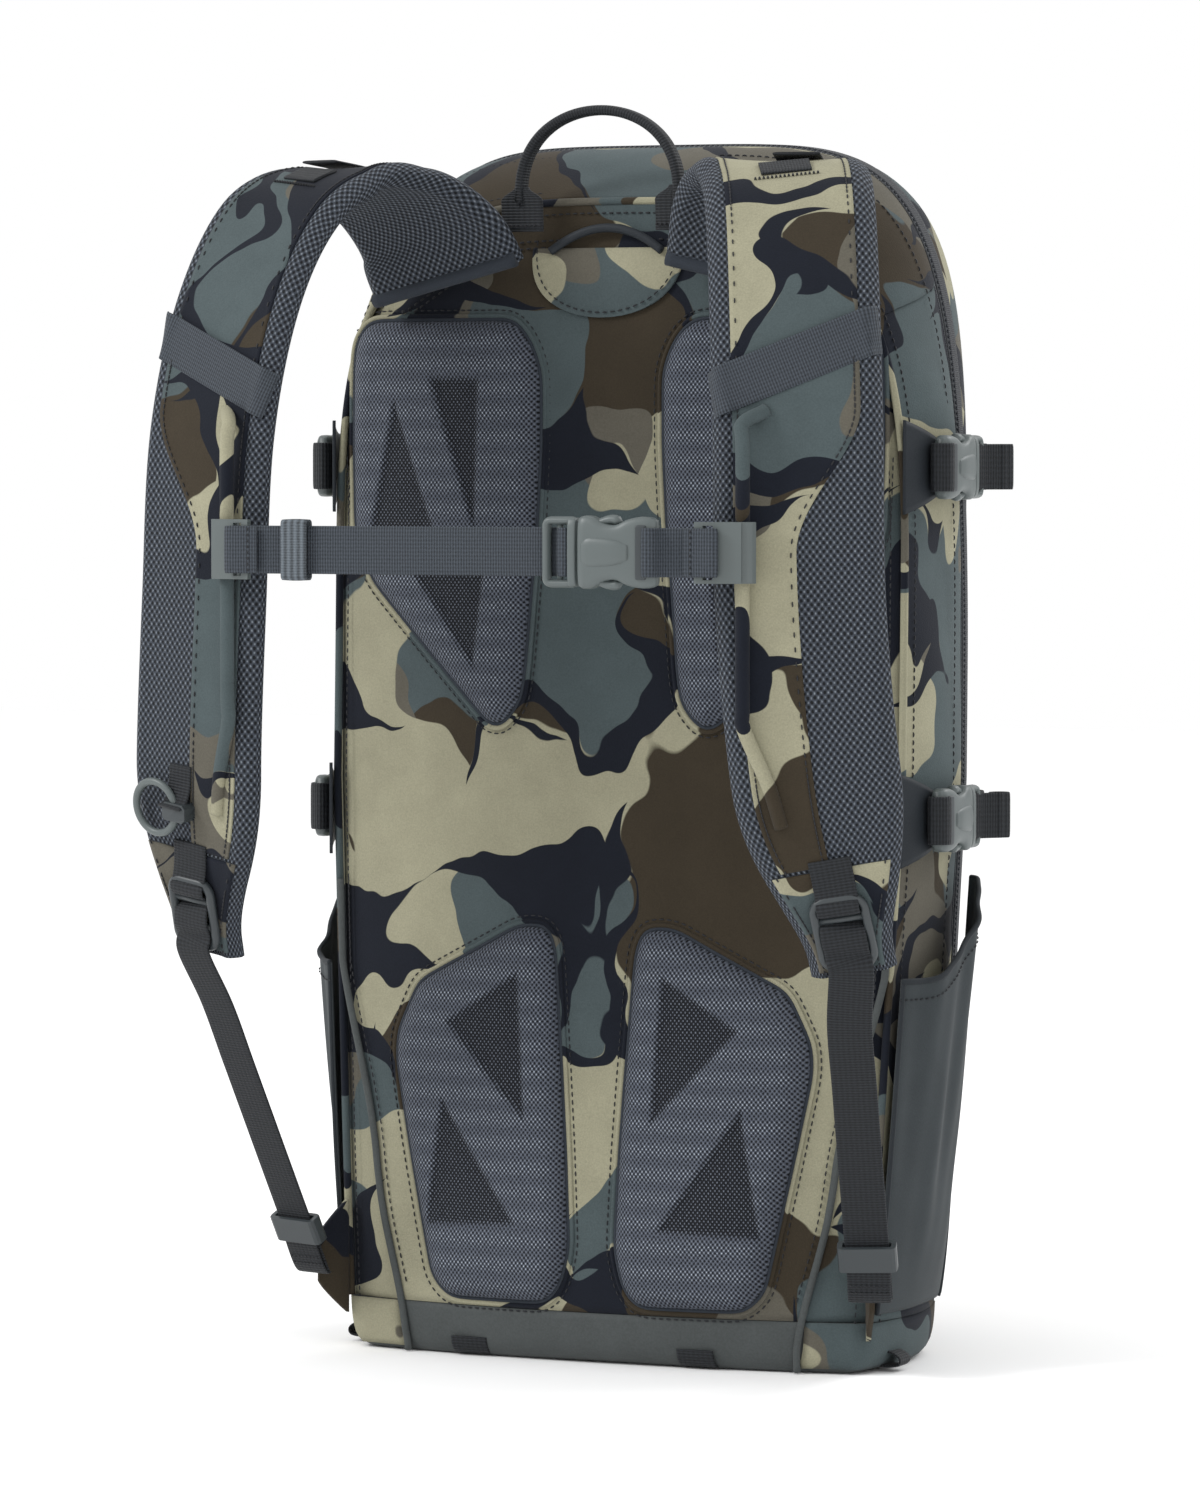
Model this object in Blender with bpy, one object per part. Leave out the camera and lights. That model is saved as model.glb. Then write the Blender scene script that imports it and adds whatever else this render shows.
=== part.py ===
"""A panel-loading day backpack for fishing gear, with each sewn panel, pad, strap, web and buckle a solid.

Metres, +Z up, +X to the wearer's right as the harness side (facing -Y) is looked at from behind.
The origin is the centre of the bottom face. Depths called d are measured forward (+Y) from the
harness side's centre line; place() turns (x, d, z) into world points.
"""

import math

import bmesh
import bpy
import numpy as np
from mathutils import Matrix, Vector

# Driving dimensions
DEPTH_TO_ORIGIN = 0.055  # from the back's centre line to the origin
LEAN = 0.011  # how far the lower back stands proud of the upper back
BODY_DEPTH = 0.195
SHELL = 0.0025  # thickness of a lined fabric panel
GAP = 0.0005  # between sewn neighbours
BASE_RISE = 0.022  # height of the coated tray's wall
DOOR_FOOT = 0.085  # height of the door's lower edge and of its fold line
WEB_20 = 0.020
WEB_THICK = 0.0016
STRAP_WIDTH = 0.070
STRAP_THICK = 0.011
SIDE_FACE = 0.1415  # x of the plane that the side buckles lie on
STERNUM_Z = 0.352

STRAIGHT_SHARE = 0.45  # share of an arch's parameter spent on its straight side

# Arch outlines of the body, as (half width, crown height, start of the shoulder curve, squareness)
SEAM_ARCH = (0.1325, 0.500, 0.330, 3.3)
BELLY_ARCH = (0.1390, 0.518, 0.310, 4.0)
ZIP_ARCH = (0.1315, 0.525, 0.300, 4.7)

for old in list(bpy.data.objects):
    bpy.data.objects.remove(old, do_unlink=True)


def material(name, colour, roughness, metallic=0.0):
    made = bpy.data.materials.new(name)
    made.use_nodes = True
    shader = made.node_tree.nodes["Principled BSDF"]
    shader.inputs["Base Color"].default_value = (*colour, 1.0)
    shader.inputs["Roughness"].default_value = roughness
    shader.inputs["Metallic"].default_value = metallic
    return made


CAMO = material("camo_fabric", (0.33, 0.31, 0.24), 0.85)
MESH = material("spacer_mesh", (0.16, 0.19, 0.21), 0.9)
COATED = material("coated_fabric", (0.09, 0.11, 0.11), 0.6)
STRETCH = material("stretch_fabric", (0.10, 0.12, 0.13), 0.9)
WEBBING = material("webbing", (0.03, 0.035, 0.045), 0.8)
PLASTIC = material("moulded_plastic", (0.11, 0.13, 0.125), 0.45)
SHEET = material("frame_sheet_plastic", (0.05, 0.05, 0.05), 0.5)


def smooth_step(value):
    value = np.clip(value, 0.0, 1.0)
    return value * value * (3.0 - 2.0 * value)


def place(x, d, z):
    """World points of body points: the back leans by LEAN at its foot, fading out towards the front."""
    x, d, z = np.broadcast_arrays(np.asarray(x, float), d, z)
    lean = LEAN * (1.0 - smooth_step(z / 0.40)) * np.clip(1.0 - d / BODY_DEPTH, 0.0, 1.0)
    return np.stack([x, d - lean - DEPTH_TO_ORIGIN, z], axis=-1)


def taper(z):
    """The body narrows by 9 percent from 0.25 m down to its base."""
    return 1.0 - 0.09 * np.clip((0.25 - z) / 0.25, 0.0, 1.0)


def arch(outline, s, foot):
    """Points (x, z) of half an arch for s from 0 at the foot to 1 at the crown, on +x."""
    half, crown, start, power = outline
    s = np.atleast_1d(np.asarray(s, float))
    rise = STRAIGHT_SHARE
    straight = foot + (start - foot) * s / rise
    turn = np.clip((s - rise) / (1.0 - rise), 0.0, 1.0) * math.pi / 2
    across, up = np.maximum(np.cos(turn), 0.0), np.maximum(np.sin(turn), 0.0)
    reach = (across**power + up**power) ** (-1.0 / power)
    across[turn >= math.pi / 2] = 0.0
    z = np.where(s < rise, straight, start + (crown - start) * up * reach)
    return half * across * reach * taper(z), z


def new_object(name, mesh, finish):
    mesh.materials.append(finish)
    made = bpy.data.objects.new(name, mesh)
    bpy.context.scene.collection.objects.link(made)
    return made


def from_bmesh(name, shape, finish):
    bmesh.ops.recalc_face_normals(shape, faces=shape.faces)
    mesh = bpy.data.meshes.new(name)
    shape.to_mesh(mesh)
    shape.free()
    return new_object(name, mesh, finish)


def flip(points, side):
    points = np.array(points, float)
    points[..., 0] *= side
    return points


def panel(name, grids, thickness, finish, inside):
    """An open surface sewn from point grids, given its wall towards the point called inside."""
    shape = bmesh.new()
    for grid in grids:
        rows = [[shape.verts.new(point) for point in row] for row in grid]
        for low, high in zip(rows, rows[1:]):
            for a, b, c, e in zip(low, low[1:], high[1:], high):
                shape.faces.new((a, b, c, e))
    bmesh.ops.remove_doubles(shape, verts=shape.verts, dist=0.00002)
    bmesh.ops.dissolve_degenerate(shape, edges=shape.edges, dist=0.00001)
    bmesh.ops.recalc_face_normals(shape, faces=shape.faces)
    votes = sum(face.normal.dot(face.calc_center_median() - Vector(inside)) for face in shape.faces)
    if votes < 0:
        bmesh.ops.reverse_faces(shape, faces=shape.faces)
    mesh = bpy.data.meshes.new(name)
    shape.to_mesh(mesh)
    shape.free()
    made = new_object(name, mesh, finish)
    wall = made.modifiers.new("wall", "SOLIDIFY")
    wall.thickness = thickness
    wall.offset = -1.0
    return made


def prism(name, outline, normal_span, frame, finish, bevel=0.0, side=1):
    """A flat plate: outline (u, v) points in the plane of frame's first two axes, thick along its third."""
    low, high = normal_span
    shape = bmesh.new()
    mirror = Matrix.Diagonal((side, 1, 1, 1))
    bottom = [shape.verts.new(mirror @ frame @ Vector((u, v, low))) for u, v in outline]
    top = [shape.verts.new(mirror @ frame @ Vector((u, v, high))) for u, v in outline]
    shape.faces.new(bottom[::-1])
    shape.faces.new(top)
    for i in range(len(outline)):
        j = (i + 1) % len(outline)
        shape.faces.new((bottom[i], bottom[j], top[j], top[i]))
    made = from_bmesh(name, shape, finish)
    if bevel:
        rounding = made.modifiers.new("rounded_edges", "BEVEL")
        rounding.width = bevel
        rounding.segments = 1
        rounding.limit_method = "ANGLE"
        rounding.angle_limit = math.radians(40)
    return made


def rounded_rectangle(width, height, radius, steps=3, centre=(0.0, 0.0)):
    points = []
    for cx, cy, start in ((1, 1, 0), (-1, 1, 90), (-1, -1, 180), (1, -1, 270)):
        for k in range(steps + 1):
            angle = math.radians(start + 90.0 * k / steps)
            x = centre[0] + cx * (width / 2 - radius) + radius * math.cos(angle)
            y = centre[1] + cy * (height / 2 - radius) + radius * math.sin(angle)
            points.append((x, y))
    return points


def cutter(name, outline, normal_span, frame, side=1):
    made = prism(name, outline, normal_span, frame, PLASTIC, side=side)
    made.hide_render = True
    made.display_type = "WIRE"
    return made


def cut(target, *tools):
    for tool in tools:
        step = target.modifiers.new(tool.name, "BOOLEAN")
        step.operation = "DIFFERENCE"
        step.object = tool


def axes(origin, u, v):
    """A frame at origin whose first axes are u and v, made square, and whose third is u x v."""
    u = Vector(u).normalized()
    n = u.cross(Vector(v)).normalized()
    v = n.cross(u)
    frame = Matrix((u, v, n)).transposed().to_4x4()
    frame.translation = Vector(origin)
    return frame


def smooth_path(points, steps):
    """Catmull-Rom curve through points, with steps samples between each pair."""
    points = np.asarray(points, float)
    padded = np.vstack([2 * points[0] - points[1], points, 2 * points[-1] - points[-2]])
    found = []
    for a, b, c, e in zip(padded, padded[1:], padded[2:], padded[3:]):
        for k in range(steps):
            t = k / steps
            found.append(0.5 * (2 * b + (c - a) * t + (2 * a - 5 * b + 4 * c - e) * t**2
                                + (3 * b - a - 3 * c + e) * t**3))
    found.append(points[-1])
    return np.array(found)


def path_frames(centre, across):
    """Unit vectors along a path, across it (near the given direction) and outward from it."""
    along = np.gradient(centre, axis=0)
    along /= np.linalg.norm(along, axis=1)[:, None]
    across = np.broadcast_to(np.asarray(across, float), centre.shape).copy()
    across -= (across * along).sum(axis=1)[:, None] * along
    across /= np.linalg.norm(across, axis=1)[:, None]
    return along, across, np.cross(along, across)


def band(name, centre, across, section, finish, side=1):
    """A section (u across, v outward) carried along the path called centre; side -1 mirrors the piece."""
    centre = np.asarray(centre, float)
    along, across, normal = path_frames(centre, across)
    shape = bmesh.new()
    rings = []
    for k in range(len(centre)):
        outline = section(k / (len(centre) - 1)) if callable(section) else section
        ring = [flip(centre[k] + u * across[k] + v * normal[k], side) for u, v in outline]
        rings.append([shape.verts.new(point) for point in ring])
    for low, high in zip(rings, rings[1:]):
        for i in range(len(low)):
            j = (i + 1) % len(low)
            shape.faces.new((low[i], low[j], high[j], high[i]))
    shape.faces.new(rings[0][::-1])
    shape.faces.new(rings[-1])
    return from_bmesh(name, shape, finish)


def flat_section(width, thick):
    half, rise = width / 2, thick / 2
    return [(half, -rise), (half, rise), (-half, rise), (-half, -rise)]


# ---- Body: tray, back, sides, top, fixed base and door ----

# Half profile of the front, from the zip to the middle: (share of the width, share of the depth)
FRONT_AT_SIDE = ((1.0, 0.0), (0.985, 0.10), (0.90, 0.33), (0.79, 0.57), (0.70, 0.78),
                 (0.60, 0.91), (0.38, 0.98), (0.0, 1.0))
FRONT_AT_TOP = ((1.0, 0.0), (1.003, 0.15), (0.985, 0.35), (0.91, 0.58), (0.81, 0.78),
                (0.68, 0.91), (0.45, 0.98), (0.0, 1.0))
TOP_SEAM = 0.68  # where side panels end and the top panel starts
SPINE_TOP = 0.330  # the door's profiles close on a vertical line from its foot to here
INSIDE = (0.0, 0.04, 0.27)


def back_depth(x, z):
    """The back is a cylinder of 0.55 m radius that rolls forward over its top 60 mm."""
    return x**2 / 1.1 + 0.010 * smooth_step((z - 0.44) / 0.06)


def zip_depth(s):
    """The zip runs 90 mm forward on the sides and 65 mm forward over the crown."""
    return 0.090 - 0.025 * smooth_step((s - STRAIGHT_SHARE) / 0.40)


def front_depth(z):
    """The front is chamfered from the base up to the door's foot, and nearly upright above it."""
    chamfer = 0.124 + (0.190 - 0.124) * np.clip(z / DOOR_FOOT, 0.0, 1.0)
    return chamfer + (BODY_DEPTH - 0.190) * smooth_step((z - DOOR_FOOT) / 0.10)


def gusset(s, k, foot=BASE_RISE + GAP):
    """Points (x, d, z) of the fixed side and top: k from 0 at the back seam to 1 at the zip."""
    seam_x, seam_z = arch(SEAM_ARCH, s, foot)
    belly_x, belly_z = arch(BELLY_ARCH, s, foot)
    zip_x, zip_z = arch(ZIP_ARCH, s, foot)
    seam_d = back_depth(seam_x, seam_z) + SHELL + 2 * GAP
    zip_d = zip_depth(s)
    first, middle, last = (1 - k) * (1 - 2 * k), 4 * k * (1 - k), k * (2 * k - 1)
    x = first * seam_x + middle * belly_x + last * zip_x
    z = first * seam_z + middle * belly_z + last * zip_z
    return x, seam_d + (zip_d - seam_d) * k, z


def gusset_grid(s_values, k_values, side):
    s, k = np.meshgrid(s_values, k_values, indexing="ij")
    return flip(place(*gusset(s, k)), side)


def front_station(s, j):
    """The front profile's station j, turned from the side's profile into the crown's as s goes to 1."""
    share = smooth_step((s - STRAIGHT_SHARE) / 0.40)
    side, top = np.array(FRONT_AT_SIDE[j]), np.array(FRONT_AT_TOP[j])
    return side[0] + (top[0] - side[0]) * share, side[1] + (top[1] - side[1]) * share


def door_grid(s_values, side):
    foot = DOOR_FOOT + GAP
    s = np.asarray(s_values, float)
    rim_x, rim_z = arch(ZIP_ARCH, s, foot)
    spine_z = foot + (SPINE_TOP - foot) * np.minimum(s / STRAIGHT_SHARE, 1.0)
    columns = []
    for j in range(len(FRONT_AT_SIDE)):
        width, depth = front_station(s, j)
        x = rim_x * width
        z = spine_z + (rim_z - spine_z) * width
        start = zip_depth(s) + 2 * GAP
        columns.append(place(x, start + (front_depth(z) - start) * depth, z))
    return flip(np.stack(columns, axis=1), side)


def base_ring(z):
    """Half a plan outline (x, d) of the fixed base at height z, from the zip round to the middle."""
    rim = ZIP_ARCH[0] * taper(z)
    start = float(zip_depth(0.0)) + 2 * GAP
    return np.array([(rim * width, start + (front_depth(z) - start) * depth)
                     for width, depth in FRONT_AT_SIDE])


def base_grid(side):
    rows = []
    for z in (BASE_RISE + GAP, 0.044, 0.065, DOOR_FOOT - SHELL):
        ring = base_ring(z)
        rows.append(place(ring[:, 0], ring[:, 1], z))
    return flip(np.stack(rows), side)


def tray_ring(z, inset):
    """Half a plan outline of the tray from the back's middle round to the front's, drawn in by inset."""
    seam = SEAM_ARCH[0] * taper(z)
    back = [(seam * q, back_depth(seam * q, z)) for q in (0.0, 0.3, 0.6, 0.85, 1.0)]
    sides = []
    for k in (0.2, 0.5, 0.8):
        x, d, _ = gusset(0.0, k)
        sides.append((x.item(), d.item()))
    ring = np.array(back + sides + [tuple(p) for p in base_ring(z)])
    middle = np.array([0.0, 0.060])
    return middle + (ring - middle) * (1.0 - inset / 0.09)


def build_tray():
    """The coated bottom: one moulded-looking tray with a floor and a 22 mm wall."""
    top = BASE_RISE - GAP
    levels = ((top, 0.0), (0.010, 0.0008), (0.003, 0.0035), (0.0, 0.009))
    halves = []
    for side in (1, -1):
        rows = []
        for z, inset in levels:
            ring = tray_ring(z, inset)
            rows.append(place(ring[:, 0], ring[:, 1], z))
        # the floor closes on a centre line
        floor = rows[-1].copy()
        floor[:, 0] = 0.0
        rows.append(floor)
        halves.append(flip(np.stack(rows), side))
    return panel("bottom_tray", halves, 0.0020, COATED, (0.0, 0.0, 0.10))


def back_grid(z_low, s_values, offset, width_share=1.0, crown_share=1.0):
    """The back's surface between its seams, moved forward by offset."""
    s = np.asarray(s_values, float)
    x, z = arch(SEAM_ARCH, s, z_low)
    q = np.linspace(-1.0, 1.0, 9)
    columns = x[:, None] * q * width_share
    heights = np.broadcast_to(z_low + (z[:, None] - z_low) * crown_share, columns.shape)
    return place(columns, back_depth(columns, heights) + offset, heights)


def build_body():
    build_tray()
    back_levels = (0.0, 0.15, 0.3, 0.45, 0.58, 0.68, 0.77, 0.85, 0.93, 1.0)
    panel("back_panel", [back_grid(BASE_RISE + GAP, back_levels, 0.0)], SHELL, CAMO, INSIDE)
    sheet = back_grid(0.030, (0.0, 0.25, 0.45, 0.62, 0.75), SHELL + 0.0020, 0.86, 0.92)
    panel("frame_sheet", [sheet], 0.0015, SHEET, INSIDE)
    sleeve = back_grid(0.080, (0.0, 0.25, 0.45, 0.60), 0.013, 0.74, 0.86)
    panel("hydration_sleeve", [sleeve], 0.0010, STRETCH, INSIDE)
    side_levels = (0.0, 0.11, 0.23, 0.34, 0.45, 0.53, 0.61, TOP_SEAM - 0.002)
    for side, word in ((1, "right"), (-1, "left")):
        grid = gusset_grid(side_levels, (0.0, 0.25, 0.5, 0.75, 1.0), side)
        panel("side_panel_" + word, [grid], SHELL, CAMO, INSIDE)
    top_levels = (TOP_SEAM + 0.002, 0.74, 0.80, 0.87, 0.94, 1.0)
    halves = [gusset_grid(top_levels, (0.0, 0.33, 0.67, 1.0), side) for side in (1, -1)]
    panel("top_panel", halves, SHELL, CAMO, INSIDE)
    panel("front_base", [base_grid(1), base_grid(-1)], SHELL, CAMO, (0.0, 0.02, 0.05))
    door_levels = (0.0, 0.09, 0.18, 0.27, 0.36, 0.45, 0.53, 0.61, 0.69, 0.77, 0.85, 0.93, 1.0)
    halves = [door_grid(door_levels, side) for side in (1, -1)]
    return panel("front_panel", halves, SHELL, CAMO, INSIDE)


def build_pocket(side, word):
    """A stretch pocket sewn to the side, standing off it most at its mouth, whose edge rises forward."""
    k = np.linspace(0.03, 0.93, 7)
    rows = []
    for height in (0.0, 0.2, 0.45, 0.7, 0.9, 1.0):
        mouth = 0.168 + 0.040 * smooth_step((k - 0.15) / 0.75)
        z = 0.026 + (mouth - 0.026) * height
        bulge = 0.0026 + 0.013 * np.sin(math.pi * np.clip(k, 0, 1)) ** 0.7 * height**0.5
        s = (z - BASE_RISE - GAP) / (0.31 - BASE_RISE - GAP) * STRAIGHT_SHARE
        x, d, _ = gusset(s, k)
        turn = np.radians(-22 + 40 * k)
        x, d = x + bulge * np.cos(turn), d + bulge * np.sin(turn)
        rows.append(place(x, d, z))
    grid = flip(np.stack(rows), side)
    panel("side_pocket_" + word, [grid], 0.0012, STRETCH, (0.0, 0.0, 0.12))


# ---- Back pads: half outlines as (height, nearer edge, farther edge) ----

UPPER_PAD = ((0.449, 0.042, 0.116), (0.440, 0.034, 0.1225), (0.427, 0.029, 0.1235),
             (0.395, 0.029, 0.1238), (0.358, 0.031, 0.1228), (0.337, 0.033, 0.1140),
             (0.300, 0.036, 0.0775), (0.285, 0.038, 0.0625), (0.274, 0.047, 0.0520))
LOWER_PAD = ((0.188, 0.023, 0.036), (0.179, 0.0195, 0.053), (0.162, 0.0180, 0.0860),
             (0.140, 0.0165, 0.0965), (0.128, 0.0155, 0.0970), (0.090, 0.0130, 0.0895),
             (0.050, 0.0112, 0.0810), (0.034, 0.0150, 0.0775), (0.026, 0.0215, 0.0690))


def build_pad(name, rows, side, thick):
    """A pad on the back: its inner face follows the back, and its outer face stands proud of it."""
    q = np.array([0.0, 0.12, 0.5, 0.88, 1.0])
    edge = np.array([0.45, 1.0, 1.0, 1.0, 0.45])
    outer, inner = [], []
    for i, (z, near, far) in enumerate(rows):
        x = near + (far - near) * q
        rise = edge * (0.45 if i in (0, len(rows) - 1) else 1.0)
        d = back_depth(x, z)
        inner.append(flip(place(x, d - 0.0006, z), side))
        outer.append(flip(place(x, d - 0.0006 - thick * rise, z), side))
    shape = bmesh.new()
    low = [[shape.verts.new(point) for point in row] for row in inner]
    high = [[shape.verts.new(point) for point in row] for row in outer]
    rows_n, columns_n = len(rows), len(q)
    for grid in (low, high):
        for i in range(rows_n - 1):
            for j in range(columns_n - 1):
                shape.faces.new((grid[i][j], grid[i][j + 1], grid[i + 1][j + 1], grid[i + 1][j]))
    border = [(0, j) for j in range(columns_n)] + [(i, columns_n - 1) for i in range(1, rows_n)]
    border += [(rows_n - 1, j) for j in range(columns_n - 2, -1, -1)]
    border += [(i, 0) for i in range(rows_n - 2, 0, -1)]
    for (i, j), (m, n) in zip(border, border[1:] + border[:1]):
        shape.faces.new((low[i][j], low[m][n], high[m][n], high[i][j]))
    return from_bmesh(name, shape, MESH)


# ---- Shoulder straps ----

# The right strap's middle line from its root on the yoke, over its arch, to its lower end (x, depth, z)
STRAP_ROUTE = ((0.070, -0.003, 0.466), (0.077, -0.014, 0.487), (0.090, -0.030, 0.502),
               (0.104, -0.050, 0.507), (0.117, -0.074, 0.493), (0.127, -0.094, 0.455),
               (0.1335, -0.1060, 0.400), (0.136, -0.109, 0.330), (0.141, -0.1045, 0.260),
               (0.146, -0.092, 0.212), (0.148, -0.079, 0.180))
STRAP_TURN = 17.0  # degrees that the strap's face is turned outward along its run
STRAP_STEPS = 2
STRAP_END_WIDTH = 0.036


def body_point(x, depth, z):
    """A point given by its depth from the upper back's middle line, with no lean."""
    return (x, depth - DEPTH_TO_ORIGIN, z)


STRAP_LINE = smooth_path([body_point(*point) for point in STRAP_ROUTE], STRAP_STEPS)


def strap_across():
    """The strap lies square at its root and turns outward by STRAP_TURN before its run."""
    share = smooth_step(np.linspace(0.0, 1.0, len(STRAP_LINE)) / 0.5)
    angle = np.radians(STRAP_TURN) * share
    return np.stack([np.cos(angle), np.sin(angle), 0 * angle], axis=1)


STRAP_FRAMES = path_frames(STRAP_LINE, strap_across())


def strap_point(t, u, v):
    """A point of the right strap: t along it from 0 to 1, u across it, v out from its middle."""
    steps = np.linspace(0.0, 1.0, len(STRAP_LINE))
    centre = np.array([np.interp(t, steps, STRAP_LINE[:, i]) for i in range(3)])
    vectors = [np.array([np.interp(t, steps, frame[:, i]) for i in range(3)]) for frame in STRAP_FRAMES]
    return centre + u * vectors[1] + v * vectors[2]


def strap_frame(t, u, v):
    """A frame on the right strap: across it, up along it, and out of it."""
    origin = strap_point(t, u, v)
    ahead = strap_point(min(t + 0.01, 1.0), u, v) - strap_point(max(t - 0.01, 0.0), u, v)
    across = strap_point(t, u + 0.01, v) - origin
    return axes(origin, across, -ahead)


def strap_section(t):
    width = STRAP_WIDTH + 0.006 * (1.0 - smooth_step(t / 0.25))
    width += (STRAP_END_WIDTH - STRAP_WIDTH) * smooth_step((t - 0.80) / 0.18)
    thick = STRAP_THICK + (0.008 - STRAP_THICK) * smooth_step((t - 0.82) / 0.12)
    w, h = width / 2, thick / 2
    return [(w, -0.4 * h), (w, 0.4 * h), (w - 0.006, h), (0.0, h), (-w + 0.006, h),
            (-w, 0.4 * h), (-w, -0.4 * h), (-w + 0.006, -h), (0.0, -h), (w - 0.006, -h)]


# ---- Sternum strap ----

RAIL_X = 0.117
RAIL_DEPTH = -0.1250
RAIL_SPAN = (0.284, 0.398)
RAIL_RADIUS = 0.0032
CLIP_HEIGHT = 0.025


def regular_polygon(radius, sides, start=0.0):
    turns = [start + 2 * math.pi * k / sides for k in range(sides)]
    return [(radius * math.cos(a), radius * math.sin(a)) for a in turns]


def build_rail(side, word):
    low, high = RAIL_SPAN
    frame = axes(body_point(RAIL_X, RAIL_DEPTH, 0.0), (1, 0, 0), (0, 1, 0))
    prism("sternum_rail_" + word, regular_polygon(RAIL_RADIUS, 10), (low, high), frame, CAMO, side=side)


def build_sternum_slider(side, word):
    """A plastic clip: a C around the rail and a slotted tab that the web is sewn through."""
    inner, outer = RAIL_RADIUS + 0.0012, RAIL_RADIUS + 0.0034
    turns = [math.radians(-10 - 20 * k) for k in range(9)]
    ring = [(outer * math.cos(a), outer * math.sin(a)) for a in turns]
    ring += [(inner * math.cos(a), inner * math.sin(a)) for a in reversed(turns)]
    frame = axes(body_point(RAIL_X, RAIL_DEPTH, STERNUM_Z), (1, 0, 0), (0, 1, 0))
    half = CLIP_HEIGHT / 2
    clip = prism("sternum_slider_" + word, ring, (-half, half), frame, PLASTIC, side=side)
    tab_outline = [(0.001, -0.0052), (-0.016, -0.0098), (-0.016, -0.0130), (0.003, -0.0085)]
    tab = cutter("clip_tab_" + word, tab_outline, (-half, half), frame, side)
    slot_outline = [(-0.0085, -0.0020), (-0.0125, -0.0020), (-0.0125, -0.0180), (-0.0085, -0.0180)]
    slot = cutter("clip_slot_" + word, slot_outline, (-0.0110, 0.0110), frame, side)
    join = clip.modifiers.new("tab", "BOOLEAN")
    join.operation = "UNION"
    join.object = tab
    cut(clip, slot)
    return clip


# Buckle halves share one layout: u runs into the socket, v across it and n up from the face they lie on
BUCKLE_THICK = 0.010
CAVITY = (0.0022, 0.0080)
BLADE = (0.0046, 0.0066)
CHANNEL = (0.0010, 0.0036)
CHANNEL_WIDTH = 0.0214
WEB_LEVEL = 0.0023  # height of a web's middle in its channel


def build_female(name, frame, length, width, side=1):
    """The socket half: its mouth at u 0, a web slot near its far end, and windows in its sides."""
    w = width / 2
    inner = w - 0.0035
    outline = [(0.0, -w + 0.001), (0.004, -w), (length - 0.003, -w), (length, -w + 0.003),
               (length, w - 0.003), (length - 0.003, w), (0.004, w), (0.0, w - 0.001)]
    shell = prism(name, outline, (0.0, BUCKLE_THICK), frame, PLASTIC, side=side)
    cavity = rectangle(-0.01, 0.66 * length, inner)
    window = rectangle(0.30 * length, 0.58 * length, w + 0.01)
    slot = rectangle(0.76 * length, 0.90 * length, inner)
    cut(shell,
        cutter(name + "_cavity", cavity, CAVITY, frame, side),
        cutter(name + "_windows", window, (CAVITY[0] + 0.0004, CAVITY[1] - 0.0004), frame, side),
        cutter(name + "_web_slot", slot, (-0.01, BUCKLE_THICK + 0.01), frame, side))
    return shell


def build_male(name, frame, base, width, female_length, side=1):
    """The plug half: two prongs and a guide that enter the socket, on a base that the web runs through."""
    w = width / 2
    tip, reach = 0.30 * female_length, 0.56 * female_length
    outer, inner = w - 0.0048, w - 0.0075
    half = [(-0.004, outer), (tip, outer), (reach, inner + 0.0006), (reach, inner), (0.004, inner - 0.0008),
            (0.004, 0.0018), (0.9 * reach, 0.0010)]
    outline = [(u, -v) for u, v in half] + [(u, v) for u, v in reversed(half)]
    plug = prism(name, outline, BLADE, frame, PLASTIC, side=side)
    block = [(-base, -w + 0.002), (-base + 0.002, -w), (-0.0008, -w), (-0.0008, w), (-base + 0.002, w),
             (-base, w - 0.002)]
    join = plug.modifiers.new("base", "BOOLEAN")
    join.operation = "UNION"
    join.object = cutter(name + "_block", block, (0.0002, BUCKLE_THICK), frame, side)
    half_web = CHANNEL_WIDTH / 2
    cut(plug,
        cutter(name + "_channel", rectangle(-base - 0.01, 0.02, half_web), CHANNEL, frame, side),
        cutter(name + "_opening", rectangle(-base + 0.003, -base + 0.0065, half_web), (0.003, 0.02),
               frame, side))
    return plug


def rectangle(start, end, half_width):
    return [(start, -half_width), (end, -half_width), (end, half_width), (start, half_width)]


SIDE_BUCKLES = (("upper", 0.386), ("lower", 0.236))
SIDE_FEMALE = 0.030
SIDE_MALE = 0.014
SIDE_MOUTH = 0.055
WEB_STANDOFF = 0.0024  # from the door's surface to a compression web's middle
WEB_ON_DOOR = 5  # how many of the door's stations a compression web crosses


def door_section(z):
    """The door's right side at height z: (x, d) where each of its profile stations passes that height."""
    s = np.linspace(0.0, 1.0, 400)
    rim_x, rim_z = arch(ZIP_ARCH, s, DOOR_FOOT + GAP)
    spine_z = DOOR_FOOT + GAP + (SPINE_TOP - DOOR_FOOT - GAP) * np.minimum(s / STRAIGHT_SHARE, 1.0)
    found = []
    for j in range(1, 1 + WEB_ON_DOOR):
        width, depth = front_station(s, j)
        heights = spine_z + (rim_z - spine_z) * width
        start = zip_depth(s) + 2 * GAP
        depths = start + (front_depth(heights) - start) * depth
        found.append((np.interp(z, heights, rim_x * width), np.interp(z, heights, depths)))
    return np.array(found)


def compression_route(z):
    """A compression web's middle line (x, d): straight from its buckle, then down over the door's side."""
    section = door_section(z)
    along = np.gradient(section, axis=0)
    along /= np.linalg.norm(along, axis=1)[:, None]
    outward = np.stack([along[:, 1], -along[:, 0]], axis=1)
    level = SIDE_FACE + WEB_LEVEL
    straight = [(level, SIDE_MOUTH + 0.0042), (level, 0.0780), (level, 0.0945)]
    return straight + [tuple(point) for point in (section + outward * WEB_STANDOFF)[:-1]]


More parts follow.
